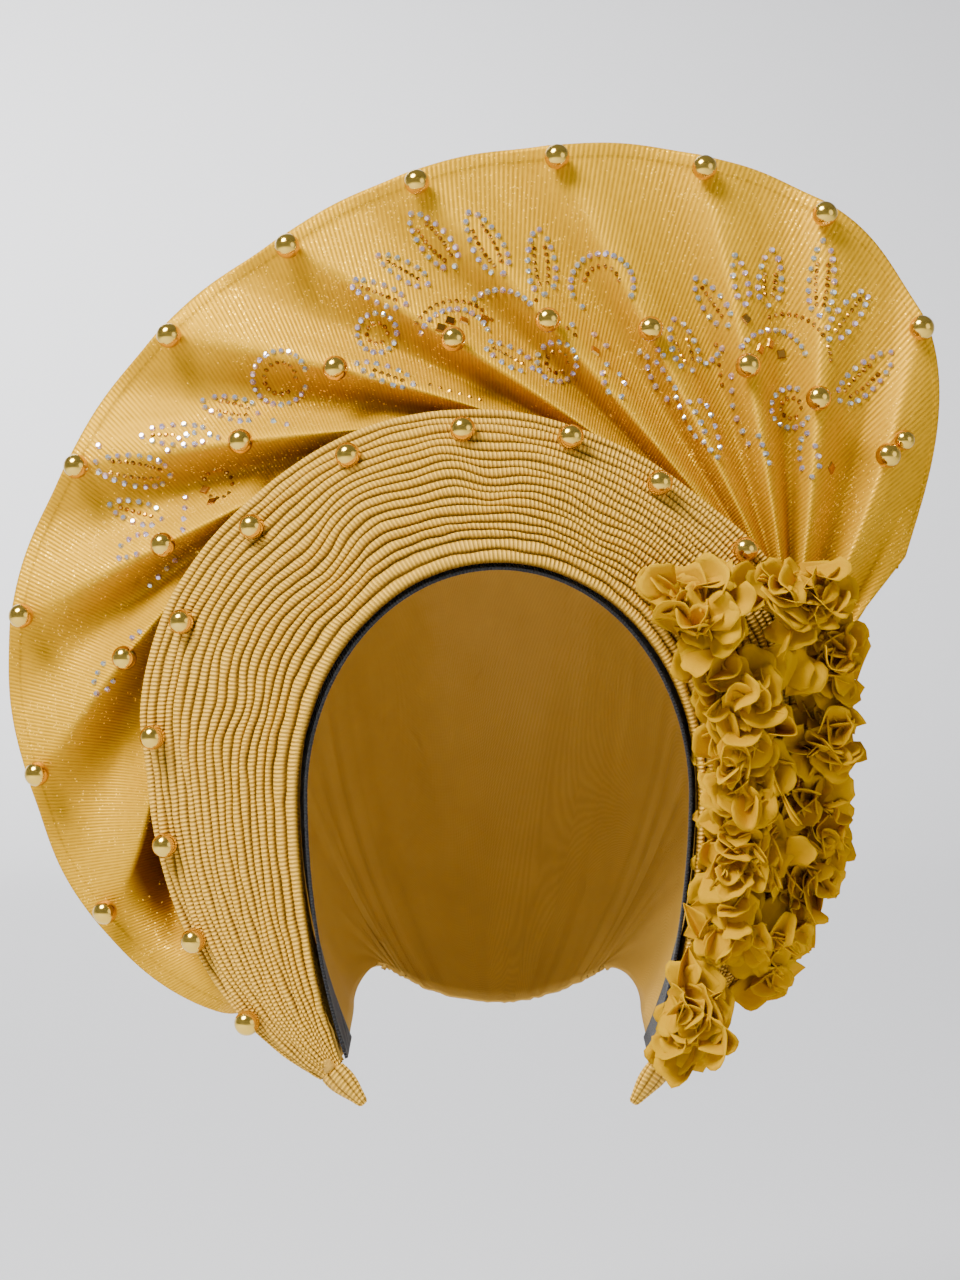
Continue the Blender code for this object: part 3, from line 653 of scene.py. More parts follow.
class Finish:
    """A material with a Principled surface. Each method adds one step's nodes and gives the output."""

    def __init__(self, name, **surface):
        """SURFACE sets sockets of the surface, with underscores for spaces."""
        self.made = bpy.data.materials.new(name)
        self.made.use_nodes = True
        self.shader = self.made.node_tree.nodes["Principled BSDF"]
        for socket, value in surface.items():
            self.shader.inputs[socket.replace("_", " ")].default_value = value

    def add(self, kind, feeds, output=0, **settings):
        return add_node(self.made.node_tree, kind, feeds, output, **settings)

    def mark(self, name):
        return self.add("ShaderNodeAttribute", {}, "Fac", attribute_name=name)

    def weave(self, axis):
        """Metres across the cloth for AXIS 0 and along it for 1."""
        spot = self.add("ShaderNodeUVMap", {}, uv_map="weave")
        return self.add("ShaderNodeSeparateXYZ", {0: spot}, axis)

    def space(self):
        return self.add("ShaderNodeTexCoord", {}, "Object")

    def noise(self, scale, detail):
        feeds = {"Vector": self.space(), "Scale": scale, "Detail": detail}
        return self.add("ShaderNodeTexNoise", feeds)

    def calc(self, operation, *values):
        return self.add("ShaderNodeMath", dict(enumerate(values)), operation=operation)

    def remap(self, value, source=(0.0, 1.0), target=(0.0, 1.0), **settings):
        feeds = {"Value": value, "From Min": source[0], "From Max": source[1]}
        feeds.update({"To Min": target[0], "To Max": target[1]})
        return self.add("ShaderNodeMapRange", feeds, **settings)

    def ribs(self, place, spacing):
        """Rounded ribs SPACING apart, 0 in a groove and 1 on a crest."""
        turns = self.calc("MULTIPLY", place, 2 * math.pi / spacing)
        return self.remap(self.calc("COSINE", turns), (-1.0, 1.0))

    def mix(self, share, low, high):
        """LOW where SHARE is 0 and HIGH where it is 1, each a colour or an output."""
        ends = [end if isinstance(end, bpy.types.NodeSocket) else rgba(end) for end in (low, high)]
        return self.add("ShaderNodeMix", {0: share, 6: ends[0], 7: ends[1]}, 2, data_type="RGBA")

    def bump(self, height, distance, strength=1.0, **under):
        feeds = {"Height": height, "Distance": distance, "Strength": strength, **under}
        return self.add("ShaderNodeBump", feeds)

    def done(self, **feeds):
        for socket, value in feeds.items():
            self.made.node_tree.links.new(value, self.shader.inputs[socket.replace("_", " ")])
        return self.made


def fan_material(cloth):
    """Woven rib cloth with a metal thread: satin light runs along the ribs, with painted shade in the
    grooves and deep in the folds, painted glints on specks of metal thread in patches, and a stitched hem
    at the rim."""
    made = Finish(
        "ribbed_aso_oke_weave", Roughness=0.5, Metallic=0.25, Specular_IOR_Level=0.08,
        Specular_Tint=rgba(cloth.lurex_glint_colour),
    )
    across = made.weave(0)
    rib = made.ribs(across, cloth.rib_spacing)
    slub = made.noise(420.0, 2.0)
    cells = made.add("ShaderNodeTexVoronoi", {"Vector": made.space(), "Scale": 2100.0}, "Color")
    chance = made.add("ShaderNodeSeparateColor", {0: cells})
    patches = made.remap(made.noise(34.0, 3.0), (0.42, 0.68), (0.998, 0.93))
    speck = made.calc("GREATER_THAN", chance, patches)
    # Painted shade: the grooves between the ribs take a darker colour
    woven = made.mix(rib, cloth.fan_groove_shade, cloth.fan_colour)
    slubbed = made.mix(slub, woven, cloth.fan_colour)
    # Painted shade deep in the folds, beside the band and in the first pocket
    folded = made.mix(made.mark("fold_depth"), slubbed, cloth.fold_shade_colour)
    hem_line = made.calc("COMPARE", made.mark("from_rim"), FAN_HEM * STITCH_PLACE, STITCH_WIDTH)
    dash = made.calc("FRACT", made.calc("MULTIPLY", across, 1.0 / cloth.stitch_length))
    stitch = made.calc("MULTIPLY", hem_line, made.calc("LESS_THAN", dash, STITCH_SHARE))
    # Hem stitches painted darker with the groove shade colour
    stitched = made.mix(made.calc("MULTIPLY", stitch, STITCH_SHADE), folded, cloth.pleat_groove_shade)
    # Painted glints: the metal-thread specks take a lighter colour, and their lower roughness is real
    bright = made.mix(speck, stitched, cloth.lurex_glint_colour)
    ribs_up = made.bump(rib, 0.00016, 0.9)
    slubs_up = made.bump(slub, 0.0002, 0.5, Normal=ribs_up)
    sewn = made.bump(stitch, -0.0003, Normal=slubs_up)
    return made.done(Base_Color=bright, Roughness=made.remap(speck, target=(0.5, 0.3)), Normal=sewn)


def pleat_material(cloth):
    """The same rib cloth folded into rope-like pleats: the ribs cross each pleat, with their tops painted
    lit and the folds and the grooves between them painted dark."""
    made = Finish("pleated_rib_weave", Roughness=0.58, Metallic=0.15, Specular_IOR_Level=0.12)
    rope = made.mark("rope")
    own = made.add("ShaderNodeTexWhiteNoise", {"W": made.calc("FLOOR", rope)}, noise_dimensions="1D")
    count = made.calc("MULTIPLY", made.weave(1), 1 / cloth.pleat_rib_spacing)
    count = made.calc("ADD", count, made.calc("MULTIPLY", rope, RIB_SLANT))
    rib = made.ribs(made.calc("ADD", count, own), 1.0)
    # Painted light and shade: height is the painted light share of a rope, 1 on its crest and 0 in its
    # groove, and the ribs across it are painted lighter on their tops
    height = made.remap(made.mark("pleat_rise"), (0.05, 0.8), interpolation_type="SMOOTHSTEP")
    lit = made.calc("ADD", made.calc("MULTIPLY", rib, RIB_LIGHT), GROOVE_LIGHT)
    mixed = made.mix(made.calc("MULTIPLY", lit, height), cloth.pleat_groove_shade, cloth.pleat_colour)
    worn = made.calc("MULTIPLY", made.noise(260.0, 3.0), WEAR)
    dusty = made.mix(worn, mixed, cloth.fan_colour)
    return made.done(Base_Color=dusty, Normal=made.bump(rib, 0.00045))


def plain_material(cloth):
    """Plain side of the same cloth, on the cap: a fine flat weave with a dull face."""
    made = Finish("plain_gold_weave", Roughness=0.68, Metallic=0.15, Specular_IOR_Level=0.2)
    turns = [made.calc("MULTIPLY", made.weave(axis), 2 * math.pi / PLAIN_THREAD) for axis in (0, 1)]
    threads = [made.calc("SINE", turn) for turn in turns]
    cross = made.remap(made.calc("MULTIPLY", *threads), (-1.0, 1.0))
    # Painted shade between the threads of the weave; the fading is random tone
    shade = made.remap(cross, target=(0.6, 0.9))
    faded = made.remap(made.noise(60.0, 4.0), target=(0.62, 1.0))
    mixed = made.mix(made.calc("MULTIPLY", shade, faded), cloth.lining_shade, cloth.lining_colour)
    return made.done(Base_Color=mixed, Normal=made.bump(cross, 0.0002, 0.4))


def stretch_material(cloth):
    """Black rib knit: matt, with fine upright ribs that run across the band."""
    made = Finish("black_rib_knit", Roughness=0.85, Sheen_Weight=0.15)
    rib = made.ribs(made.weave(0), KNIT_RIB)
    # Painted shade in the grooves between the knit's ribs
    mixed = made.mix(rib, KNIT_GROOVE_SHADE, cloth.stretch_colour)
    return made.done(Base_Color=mixed, Normal=made.bump(rib, 0.0003))


def bead_material(trim):
    """Gold plating over plastic: a mirror finish with faint handling marks."""
    made = Finish("gold_plated_bead", Base_Color=rgba(trim.bead_colour), Metallic=1.0)
    return made.done(Roughness=made.remap(made.noise(900.0, 4.0), target=(0.07, 0.24)))


def crystal_material(trim):
    """Foil-backed cut glass with a rainbow coating: bright facets, each stone tinted its own way."""
    made = Finish("coated_rhinestone", Metallic=0.75, Roughness=0.08)
    feeds = {0: made.mark("tint"), 1: 0.28, 2: 0.66}
    hue = made.add("ShaderNodeCombineColor", feeds, mode="HSV")
    return made.done(Base_Color=made.mix(0.45, hue, trim.crystal_colour))


def stud_material(trim):
    """Small stamped studs in old gold, browner than the beads."""
    made = Finish("old_gold_stud", Metallic=1.0, Roughness=0.24)
    return made.done(Base_Color=made.mix(made.mark("tint"), trim.stud_shade, trim.stud_colour))


def chiffon_material(trim):
    """Dyed polyester chiffon, cut hot: thin, dry and slightly grainy, with painted shade that deepens
    towards each petal's root at the flower's heart.
    """
    made = Finish(
        "mustard_chiffon", Roughness=0.9, Specular_IOR_Level=0.0,
        Subsurface_Weight=0.15, Subsurface_Radius=(0.004, 0.0025, 0.0008), Subsurface_Scale=0.3,
    )
    # Painted shade: each petal darker towards its root, times a random tone per petal
    share = made.calc("MULTIPLY", made.mark("outward"), made.mark("shade"))
    mixed = made.mix(share, trim.chiffon_shade, trim.chiffon_colour)
    folds = made.bump(made.noise(190.0, 3.0), 0.0009, 0.6)
    return made.done(Base_Color=mixed, Normal=made.bump(made.noise(1100.0, 2.0), 0.0001, 0.5, Normal=folds))


def paper_material(studio):
    """Matt photographic paper."""
    made = Finish("studio_paper", Base_Color=rgba(studio.paper_colour), Roughness=0.9)
    return made.done(Normal=made.bump(made.noise(300.0, 2.0), 0.0002, 0.2))


def add_marks(mesh, marks):
    """Point attributes of a mesh, one for each of MARKS."""
    for name, values in marks.items():
        layer = mesh.attributes.new(name, "FLOAT", "POINT")
        layer.data.foreach_set("value", np.asarray(values, np.float32).ravel())


def mesh_of(name, made, **marks):
    """The mesh that a bmesh ends as, with MARKS."""
    mesh = bpy.data.meshes.new(name)
    made.to_mesh(mesh)
    made.free()
    add_marks(mesh, marks)
    return mesh


def smooth_mesh(name, made, **marks):
    mesh = mesh_of(name, made, **marks)
    mesh.shade_smooth()
    return mesh


def cloth_grid(name, points, weave, centre, **marks):
    """A grid of cloth through an array of POINTS, rows by columns, with a UV map WEAVE in metres and
    MARKS. Its faces look away from CENTRE."""
    rows, columns = points.shape[0] - 1, points.shape[1] - 1
    grid = bmesh.new()
    bmesh.ops.create_grid(grid, x_segments=columns, y_segments=rows, size=0.5)
    mesh = mesh_of(name, grid)
    flat = np.empty(len(mesh.vertices) * 3)
    mesh.vertices.foreach_get("co", flat)
    column_of = np.rint((flat[0::3] + 0.5) * columns).astype(int)
    row_of = np.rint((flat[1::3] + 0.5) * rows).astype(int)
    mesh.vertices.foreach_set("co", points[row_of, column_of].ravel())
    corner = np.empty(len(mesh.loops), int)
    mesh.loops.foreach_get("vertex_index", corner)
    layer = mesh.uv_layers.new(name="weave")
    layer.data.foreach_set("uv", weave[row_of, column_of][corner].ravel())
    add_marks(mesh, {name: values[row_of, column_of] for name, values in marks.items()})
    mesh.update()
    outward = sum(face.normal.dot(face.center - Vector(centre)) for face in mesh.polygons)
    if outward < 0:
        mesh.flip_normals()
    mesh.shade_smooth()
    return mesh


def run_length(points, axis):
    """Distance along the rows or columns of an array of points."""
    steps = np.linalg.norm(np.diff(points, axis=axis), axis=-1)
    start = np.zeros_like(np.take(points[..., 0], [0], axis=axis))
    return np.concatenate((start, np.cumsum(steps, axis=axis)), axis=axis)


def add_piece(name, mesh, finish, *replaced):
    """Put a piece in the scene: it rides on the part, and it stands for the nodes it replaces."""
    piece = bpy.data.objects.new(name, mesh)
    mesh.materials.append(finish)
    bpy.context.scene.collection.objects.link(piece)
    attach(piece, "root")
    if replaced:
        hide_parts(*replaced)
    return piece


def add_wall(piece, thickness, offset=-1.0):
    wall = piece.modifiers.new("wall", "SOLIDIFY")
    wall.thickness = thickness
    wall.offset = offset


def add_sheet(name, node, points, finish, wall, centre=FACE_CENTRE, weave=None, **marks):
    """A sheet of cloth that stands for NODE. Its WEAVE is measured along its rows and columns unless
    it is given."""
    if weave is None:
        weave = np.stack((run_length(points, 1), run_length(points, 0)), axis=-1)
    piece = add_piece(name, cloth_grid(name, points, weave, centre, **marks), finish, node)
    add_wall(piece, wall)
    return piece


def grid_shares(rows, columns):
    """Arrays of the share along and the share across for each point of a grid."""
    return np.meshgrid(np.linspace(0, 1, rows + 1), np.linspace(0, 1, columns + 1), indexing="ij")


def rope_lines(place, width):
    """Shares across the band of the grooves between its ropes, which wander a little as they run."""
    plain = ROPES - WIDE_ROPES
    wide = WIDE_ROPE / (BAND_REACH - OPENING_RISE)
    first = wide * WIDE_ROPES
    edges = [wide * number for number in range(WIDE_ROPES)]
    edges += [first + (1 - first) * number / plain for number in range(plain + 1)]
    lines = np.repeat(np.array(edges)[None, :], len(place), axis=0)
    inside = slice(1, len(edges) - 1)
    wander = soft_noise(WANDER_NOISE, place[:, None], np.arange(len(edges))[None, inside])
    lines[:, inside] += wander * ROPE_WANDER / width[:, None]
    return lines


def add_pleated_band(finish, backing):
    place = np.linspace(0.0, len(BAND_SECTIONS) - 1.0, BAND_ROWS + 1)
    width = np.linalg.norm(band_across(place), axis=-1)
    lines = rope_lines(place, width)
    step = np.arange(ROPES * ROPE_STEPS + 1)
    rope = np.minimum(step // ROPE_STEPS, ROPES - 1)
    share = (step - rope * ROPE_STEPS) / ROPE_STEPS
    eased_share = (share + (1 - np.cos(share * np.pi)) / 2) / 2
    start, end = lines[:, rope], lines[:, rope + 1]
    across = start + (end - start) * eased_share
    places = np.repeat(place[:, None], len(step), axis=1)
    swell = 1 + soft_noise(SWELL_NOISE, places, rope[None, :])
    bulge = 1 - (2 * eased_share - 1) ** 2
    height = np.minimum(ROPE_HEIGHT, (end - start) * width[:, None] * ROPE_SLIMNESS) * swell
    tall = (bulge**ROPE_ROUNDNESS)[None, :] * height
    points = band_spine(places, across) + facing(band_spine, places, across) * tall[..., None]
    crest = rope * ROPE_STEPS + ROPE_STEPS // 2
    weave = np.stack((run_length(points, 1), run_length(points, 0)[:, crest]), axis=-1)
    rope_mark = np.repeat((rope + share * 0.98)[None, :], len(place), axis=0)
    # Painted light share of each rope: lit on its crest, painted dark in the grooves and dimmer where the
    # rope swells less
    rise = np.clip(bulge[None, :] * (LOW_ROPE_LIGHT + (1 - LOW_ROPE_LIGHT) * swell), 0, 1)
    piece = add_sheet(
        "pleated_band_cloth", "face_band", points, finish, BAND_WALL, weave=weave, rope=rope_mark,
        pleat_rise=rise,
    )
    piece.data.materials.append(backing)
    piece.modifiers["wall"].material_offset = 1
    return piece


def fan_points(rows, columns):
    """Points of the fan's front, with the distance of each from the rim."""
    place = np.linspace(0.0, len(FAN_FOLDS) - 1.0, columns + 1)
    tail = fan_front(place, np.zeros_like(place))
    rim = fan_front(place, np.ones_like(place))
    length = np.linalg.norm(rim - tail, axis=-1)
    share = np.linspace(0, 1, rows + 1)[:, None]
    along = share * (1 + FAN_HEM / length)[None, :]
    places = np.repeat(place[None, :], rows + 1, axis=0)
    from_rim = (1 - share) * (length + FAN_HEM)[None, :]
    return places, along, fan_front(places, along), from_rim


def fold_shade(places, along, length):
    """Painted shade for each place of the fan: how dark it is painted in its folds, beside the band and in
    the first pocket, where shade falls.
    """
    row = row_before(places, len(FAN_FOLDS))
    share = places - row
    falls = np.array([fold.middle_fall for fold in FAN_FOLDS])[row]
    hollow = np.exp(-((share - SHADE_PLACE) / SHADE_SPREAD) ** 2)
    folds = FOLD_SHADE * falls * hollow * np.clip(SHADE_END - along, 0, 1)
    from_band = along * length - FAN_TUCK
    beside = np.exp(-np.maximum(from_band, 0) / TUCK_WIDTH) * np.clip(2 - places / TUCK_FOLDS, 0, 1)
    pocket = (row == 0) * np.exp((share - 1) / POCKET_SHARE) * np.clip((POCKET_END - along) * 4, 0, 1)
    return np.clip(folds + TUCK_SHADE * beside + POCKET_SHADE * pocket, 0, 1)


def add_fan_cloth(finish):
    columns = FAN_COLUMNS * (len(FAN_FOLDS) - 1)
    places, along, points, from_rim = fan_points(FAN_ROWS, columns)
    inside = np.clip(along / WRINKLE_START, 0, 1) * np.clip(from_rim / WRINKLE_END, 0, 1)
    points[..., 1] -= WRINKLE * soft_noise(DRAG_NOISE, places, along) * inside
    points[..., 1] -= HEM_STEP * np.clip((FAN_HEM - from_rim) / HEM_EDGE, 0, 1)
    flat = points - FACE_CENTRE
    turn = np.arctan2(flat[..., 0], flat[..., 2])
    radius = np.hypot(flat[..., 0], flat[..., 2])
    piece = add_sheet(
        "fan_cloth", "fan", points, finish, FAN_WALL, FACE_CENTRE + np.array((0.0, HEAD_HALF_DEPTH, 0.0)),
        np.stack((turn * FAN_REACH * RIB_REACH, radius), axis=-1), from_rim=from_rim,
        # Painted shade for the folds, the strip beside the band and the first pocket
        fold_depth=fold_shade(places, along, run_length(points, 0)[-1]),
    )
    return piece


def hem_share(turn):
    """Share of the way to the nape that the inner band reaches."""
    near = head_point(turn, np.zeros_like(turn))
    far = head_point(turn, np.full_like(turn, HEM_PROBE))
    return INNER_BAND_WIDTH * HEM_PROBE / np.linalg.norm(far - near, axis=-1)


def cap_turns(share):
    first, last = BAND_SECTIONS[0].opening_turn, BAND_SECTIONS[-1].opening_turn
    return first + (last - first) * share


def add_cap_cloth(finish):
    back, across = grid_shares(CAP_ROWS, CAP_COLUMNS)
    turn = cap_turns(across)
    gather = soft_noise(GATHER_NOISE, turn, back)
    depth = -GATHER_DEPTH * (0.5 + gather) * np.clip((back - GATHER_START) / GATHER_RUN, 0, 1)
    edge = np.clip(1 - back / CAP_EDGE_RUN, 0, 1) ** 2
    points = head_point(turn, back, depth - CAP_EDGE_FLARE * edge)
    points[..., 1] -= CAP_EDGE_REACH * edge
    piece = add_sheet("crown_cap_cloth", "crown_cap", points, finish, CAP_WALL)
    return piece


def add_stretch_band(finish):
    share, across = grid_shares(STRETCH_ROWS, CAP_COLUMNS)
    turn = cap_turns(across)
    depth = np.full_like(turn, CAP_WALL + SEAM_GAP)
    back = hem_share(turn) * np.clip(share * 1.25 - 0.25, 0, 1)
    points = head_point(turn, back, depth)
    points[..., 1] -= INNER_BAND_SHOW * np.clip(1 - share * 5, 0, 1)
    piece = add_sheet("stretch_band_knit", "inner_band", points, finish, INNER_BAND_WALL)
    return piece


def add_cuff(node, place, finish):
    """A cuff of folded cloth that the pleats' ends are gathered into."""
    at, half = np.array([float(place)]), np.array([0.5])
    inside = CUFF_LEAD if place == 0 else -CUFF_LEAD
    middle = band_spine(at, half)[0]
    along = unit(middle - band_spine(at + inside, half)[0])
    over = unit(band_across(at)[0])
    front = facing(band_spine, at, half)[0]
    centre = Vector(middle + along * (CUFF_LENGTH / 2 + SEAM_GAP) - front * BAND_WALL / 2)
    cuff = bmesh.new()
    bmesh.ops.create_cone(
        cuff, cap_ends=True, segments=CUFF_SEGMENTS, radius1=1.0, radius2=1.0, depth=2.0
    )
    rings = [edge for edge in cuff.edges if abs(edge.verts[0].co.z - edge.verts[1].co.z) > 1]
    bmesh.ops.subdivide_edges(cuff, edges=rings, cuts=CUFF_RINGS, use_grid_fill=True)
    ends = [face for face in cuff.faces if len(face.verts) > 4]
    bmesh.ops.inset_region(cuff, faces=ends, thickness=0.35, depth=0.1)
    frame_of = Matrix([over, front, along]).transposed()
    ridge_lights = []
    for point in cuff.verts:
        share = min(max((point.co.z + 1) / 2, 0.0), 1.0)
        angle = math.atan2(point.co.y, point.co.x)
        ridge = abs(math.sin(CUFF_RIDGES / 2 * angle + 0.8 * share))
        # Painted light share of each ridge of the cuff: lit on the ridge and painted dark between ridges
        ridge_lights.append(ridge**0.7)
        folds = 0.93 + 0.13 * ridge + 0.03 * math.sin(3 * angle + 5.0 * share)
        swell = 1 + 0.10 * math.sin(math.pi * min(share * 1.3, 1.0))
        width = CUFF_WIDTH / 2 * (1 - CUFF_TAPER * share**1.8) * folds * swell
        thick = CUFF_THICKNESS / 2 * (1 - CUFF_THINNING * share**2) * folds * swell
        local = Vector((point.co.x * width, point.co.y * thick, point.co.z * CUFF_LENGTH / 2))
        point.co = frame_of @ local + centre
    bmesh.ops.recalc_face_normals(cuff, faces=cuff.faces[:])
    layer = cuff.loops.layers.uv.new("weave")
    for face in cuff.faces:
        for loop in face.loops:
            offset = loop.vert.co - centre
            loop[layer].uv = (offset.dot(Vector(over)), offset.dot(Vector(along)))
    mesh = smooth_mesh(node + "_cloth", cuff, rope=[0.0] * len(ridge_lights), pleat_rise=ridge_lights)
    piece = add_piece(node + "_cloth", mesh, finish, node)
    return piece


def node_middle(node):
    low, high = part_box(node)
    return (low + high) / 2


def bead_shape(beads, radius, place, axis):
    """A sewn bead: a ball with a small thread hole drawn in at each end of its AXIS."""
    turned = Vector((0, 0, 1)).rotation_difference(axis).to_matrix().to_4x4()
    matrix = Matrix.Translation(place) @ turned
    made = bmesh.ops.create_uvsphere(
        beads, u_segments=BEAD_SEGMENTS, v_segments=BEAD_RINGS, radius=radius, matrix=matrix
    )
    for point in made["verts"]:
        along = (point.co - place).dot(axis) / radius
        if abs(along) > 0.985:
            point.co = place + (point.co - place) * (0.82 if abs(along) > 0.999 else 0.97)


def add_beads(name, nodes, finish):
    beads = bmesh.new()
    radius = SMALL_BEAD_RADIUS if name == "side_bead_row" else BEAD_RADIUS
    for number, node in enumerate(nodes):
        place = node_middle(node)
        way = Vector((place.x, 0.0, place.z + HEAD_HALF_HEIGHT)).normalized()
        axis = Matrix.Rotation(math.radians(50 + 23 * number), 3, "Y") @ way
        bead_shape(beads, radius, place, axis.normalized())
    piece = add_piece(name, smooth_mesh(name, beads), finish, *nodes)
    return piece


def tree_of(piece):
    graph = bpy.context.evaluated_depsgraph_get()
    return BVHTree.FromObject(piece, graph)


def on_cloth(tree, px, py):
    """The point of the cloth that a pixel of the photograph's frame shows, and its normal."""
    spot, normal, _, _ = tree.ray_cast(CAMERA_PLACE, photo_way(px, py))
    if spot is None:
        raise RuntimeError(f"no cloth at pixel {px:.0f}, {py:.0f}")
    return spot, -normal if normal.y > 0 else normal


def leaf_places(leaf):
    """Pixels of the stones round a leaf and of the studs down its inside."""
    angle = math.radians(leaf.tilt)
    count = max(7, round((leaf.length * LEAF_EDGE + leaf.width) / CRYSTAL_SPACING))
    outer, inner = [], []
    for number in range(count):
        round_it = 2 * math.pi * number / count
        taper = 0.82 + 0.18 * math.cos(round_it)
        outer.append((math.cos(round_it) * leaf.length / 2, math.sin(round_it) * leaf.width / 2 * taper))
    if leaf.studs:
        row = leaf.length - 2 * CRYSTAL_SPACING
        studs = round(row / STUD_SPACING)
        for number in range(studs):
            share = (number + 0.5) / studs - 0.5
            for side in (-1, 1) if leaf.width > WIDE_LEAF else (0,):
                swell = side * leaf.width * 0.2 * (1 - 2 * share * share)
                inner.append((share * row, swell))
    turned = []
    for group in (outer, inner):
        turned.append([
            (leaf.px + (a * math.cos(angle) - b * math.sin(angle)) * PIXELS_PER_MM,
             leaf.py + (a * math.sin(angle) + b * math.cos(angle)) * PIXELS_PER_MM)
            for a, b in group
        ])
    return turned


def stone_places():
    """Pixels of the crystals and studs, by kind."""
    places = {"crystal": [], "stud": []}
    for leaf in LEAVES:
        outer, inner = leaf_places(leaf)
        places["crystal"] += outer
        places["stud"] += inner
    for arc in ARCS:
        spacing = CRYSTAL_SPACING if arc.kind == "crystal" else STUD_SPACING
        sweep = math.radians(arc.last - arc.first)
        count = max(3, round(arc.radius * sweep / spacing))
        for number in range(count + 1):
            angle = math.radians(arc.first) + sweep * number / count
            reach = arc.radius * PIXELS_PER_MM
            places[arc.kind].append((arc.px + math.cos(angle) * reach, arc.py - math.sin(angle) * reach))
    for line in LINES:
        for number in range(line.count):
            share = number / max(1, line.count - 1)
            across = line.px + (line.end_px - line.px) * share
            places[line.kind].append((across, line.py + (line.end_py - line.py) * share))
    return places


def clear_places(places, beads, room):
    """The places that keep ROOM pixels from each other and from the beads."""
    kept = []
    for px, py in places:
        near_bead = any(math.hypot(px - x, py - y) < room + BEAD_ROOM for x, y in beads)
        near_stone = any(math.hypot(px - x, py - y) < room for x, y in kept)
        if not near_bead and not near_stone:
            kept.append((px, py))
    return kept


def photo_pixel(point):
    way = Vector(point) - CAMERA_PLACE
    return (
        PHOTO_WIDTH / 2 + way.x / way.y / PIXEL_SLOPE,
        PHOTO_HEIGHT / 2 - way.z / way.y / PIXEL_SLOPE,
    )


def add_stones(name, tree, places, radius, cut, finish):
    """Flat-backed stones set on the cloth, each with a bevelled crown."""
    draws = random.Random(cut.seed)
    stones = bmesh.new()
    tint = stones.verts.layers.float.new("tint")
    for px, py in places:
        spot, normal = on_cloth(tree, px, py)
        tilt = Vector((draws.uniform(-0.1, 0.1), 0, draws.uniform(-0.1, 0.1)))
        axis = (normal + tilt).normalized()
        turned = Vector((0, 0, 1)).rotation_difference(axis).to_matrix()
        spun = turned @ Matrix.Rotation(draws.uniform(0, math.pi), 3, "Z")
        matrix = Matrix.Translation(spot + axis * cut.height * 0.42) @ spun.to_4x4()
        size = radius * draws.uniform(0.92, 1.06)
        made = bmesh.ops.create_cone(
            stones, cap_ends=True, segments=cut.sides, radius1=size, radius2=size * cut.top,
            depth=cut.height, matrix=matrix,
        )
        shade = draws.random()
        for point in made["verts"]:
            point[tint] = shade
    piece = add_piece(name, mesh_of(name, stones), finish)
    return piece


def add_petal(flower, layer, matrix, draws, marks):
    """One petal: a round-edged scrap of chiffon, bent along its middle and ruffled at its rim."""
    made = bmesh.ops.create_grid(flower, x_segments=PETAL_COLUMNS, y_segments=PETAL_ROWS, size=0.5)
    length = layer.length * draws.uniform(0.85, 1.15)
    spread = math.radians(layer.spread) * draws.uniform(0.85, 1.2)
    curl = draws.uniform(-0.30, 0.40)
    bend = layer.bend + draws.choice((0.0, 0.0, 0.15, 0.8))
    phase = draws.uniform(0, 2 * math.pi)
    waves = draws.choice((2, 3, 3, 4))
    shade = draws.uniform(0.7, 1.0)
    nicks = draws.uniform(5.0, 9.0)
    for point in made["verts"]:
        side = point.co.x * 2
        out = point.co.y + 0.5
        scallop = 1 + 0.05 * math.sin(nicks * side + phase) * out**3
        radius = length * out * (1 - 0.24 * side**4) * scallop
        across = radius * math.sin(side * spread)
        reach = radius * math.cos(side * spread)
        ruffle = layer.ruffle * length * math.sin(waves * side * 1.3 + phase) * out**2
        lift = abs(across) * math.sin(bend) * abs(side) ** 0.6 + curl * length * out**2 * 0.5 + ruffle
        # Painted shade share: darkest at the petal's root by the flower's heart
        marks["outward"].append(0.25 + 0.75 * out)
        marks["shade"].append(shade)
        point.co = matrix @ Vector((across * math.cos(bend), reach, lift))


def in_cluster(spot, base):
    """Whether a place is clear of the face opening, inside the cluster's outer edge and in front of
    the fan, for a flower that is sewn on at BASE."""
    rise = OPENING_RISE if spot.z > FACE_CENTRE[2] else OPENING_DROP
    drop = min(abs(spot.z - FACE_CENTRE[2]) / rise, 1.0)
    margin = FLOWER_MARGIN if spot.z > MARGIN_END_Z else 0.0
    inner = OPENING_HALF_WIDTH * math.sqrt(1 - drop * drop) + margin
    outer = CLUSTER_EDGE_X - CLUSTER_SLANT * max(0.0, CLUSTER_BEND_Z - spot.z)
    deepest = base.y + (PETAL_DROOP if spot.z < FAN_END_Z else 0.0)
    return inner < spot.x < outer and spot.z < CLUSTER_TOP_Z and spot.y < deepest


def flower_petals(flower, centre, facing_way, draws, marks):
    """Petals strewn round a flower's heart. One that would leave the cluster is turned to stay in it,
    or left out where no way is free."""
    upright = Matrix.Translation(centre) @ facing_way
    for layer in PETAL_LAYERS:
        for _ in range(layer.petals):
            spin = draws.uniform(0, math.tau)
            tilt = math.radians(layer.tilt + draws.uniform(-PETAL_TILT_SPREAD, PETAL_TILT_SPREAD))
            rise = PETAL_RISE * math.sin(math.radians(layer.tilt))
            lift = PETAL_BASE + rise + draws.uniform(0, PETAL_STACK)
            away = Matrix.Rotation(draws.uniform(0, math.tau), 4, "Z")
            away = away @ Vector((0, draws.uniform(0.0, 1.0) * layer.scatter, lift))
            sway = draws.uniform(-PETAL_ROLL, PETAL_ROLL)
            roll = Matrix.Rotation(tilt, 4, "X") @ Matrix.Rotation(sway, 4, "Y")
            for turn in PETAL_TURNS:
                way = Matrix.Rotation(spin + turn, 4, "Z")
                matrix = upright @ Matrix.Translation(away) @ way @ roll
                if in_cluster(matrix @ Vector((0, layer.length * PETAL_REACH, 0)), centre):
                    add_petal(flower, layer, matrix, draws, marks)
                    break


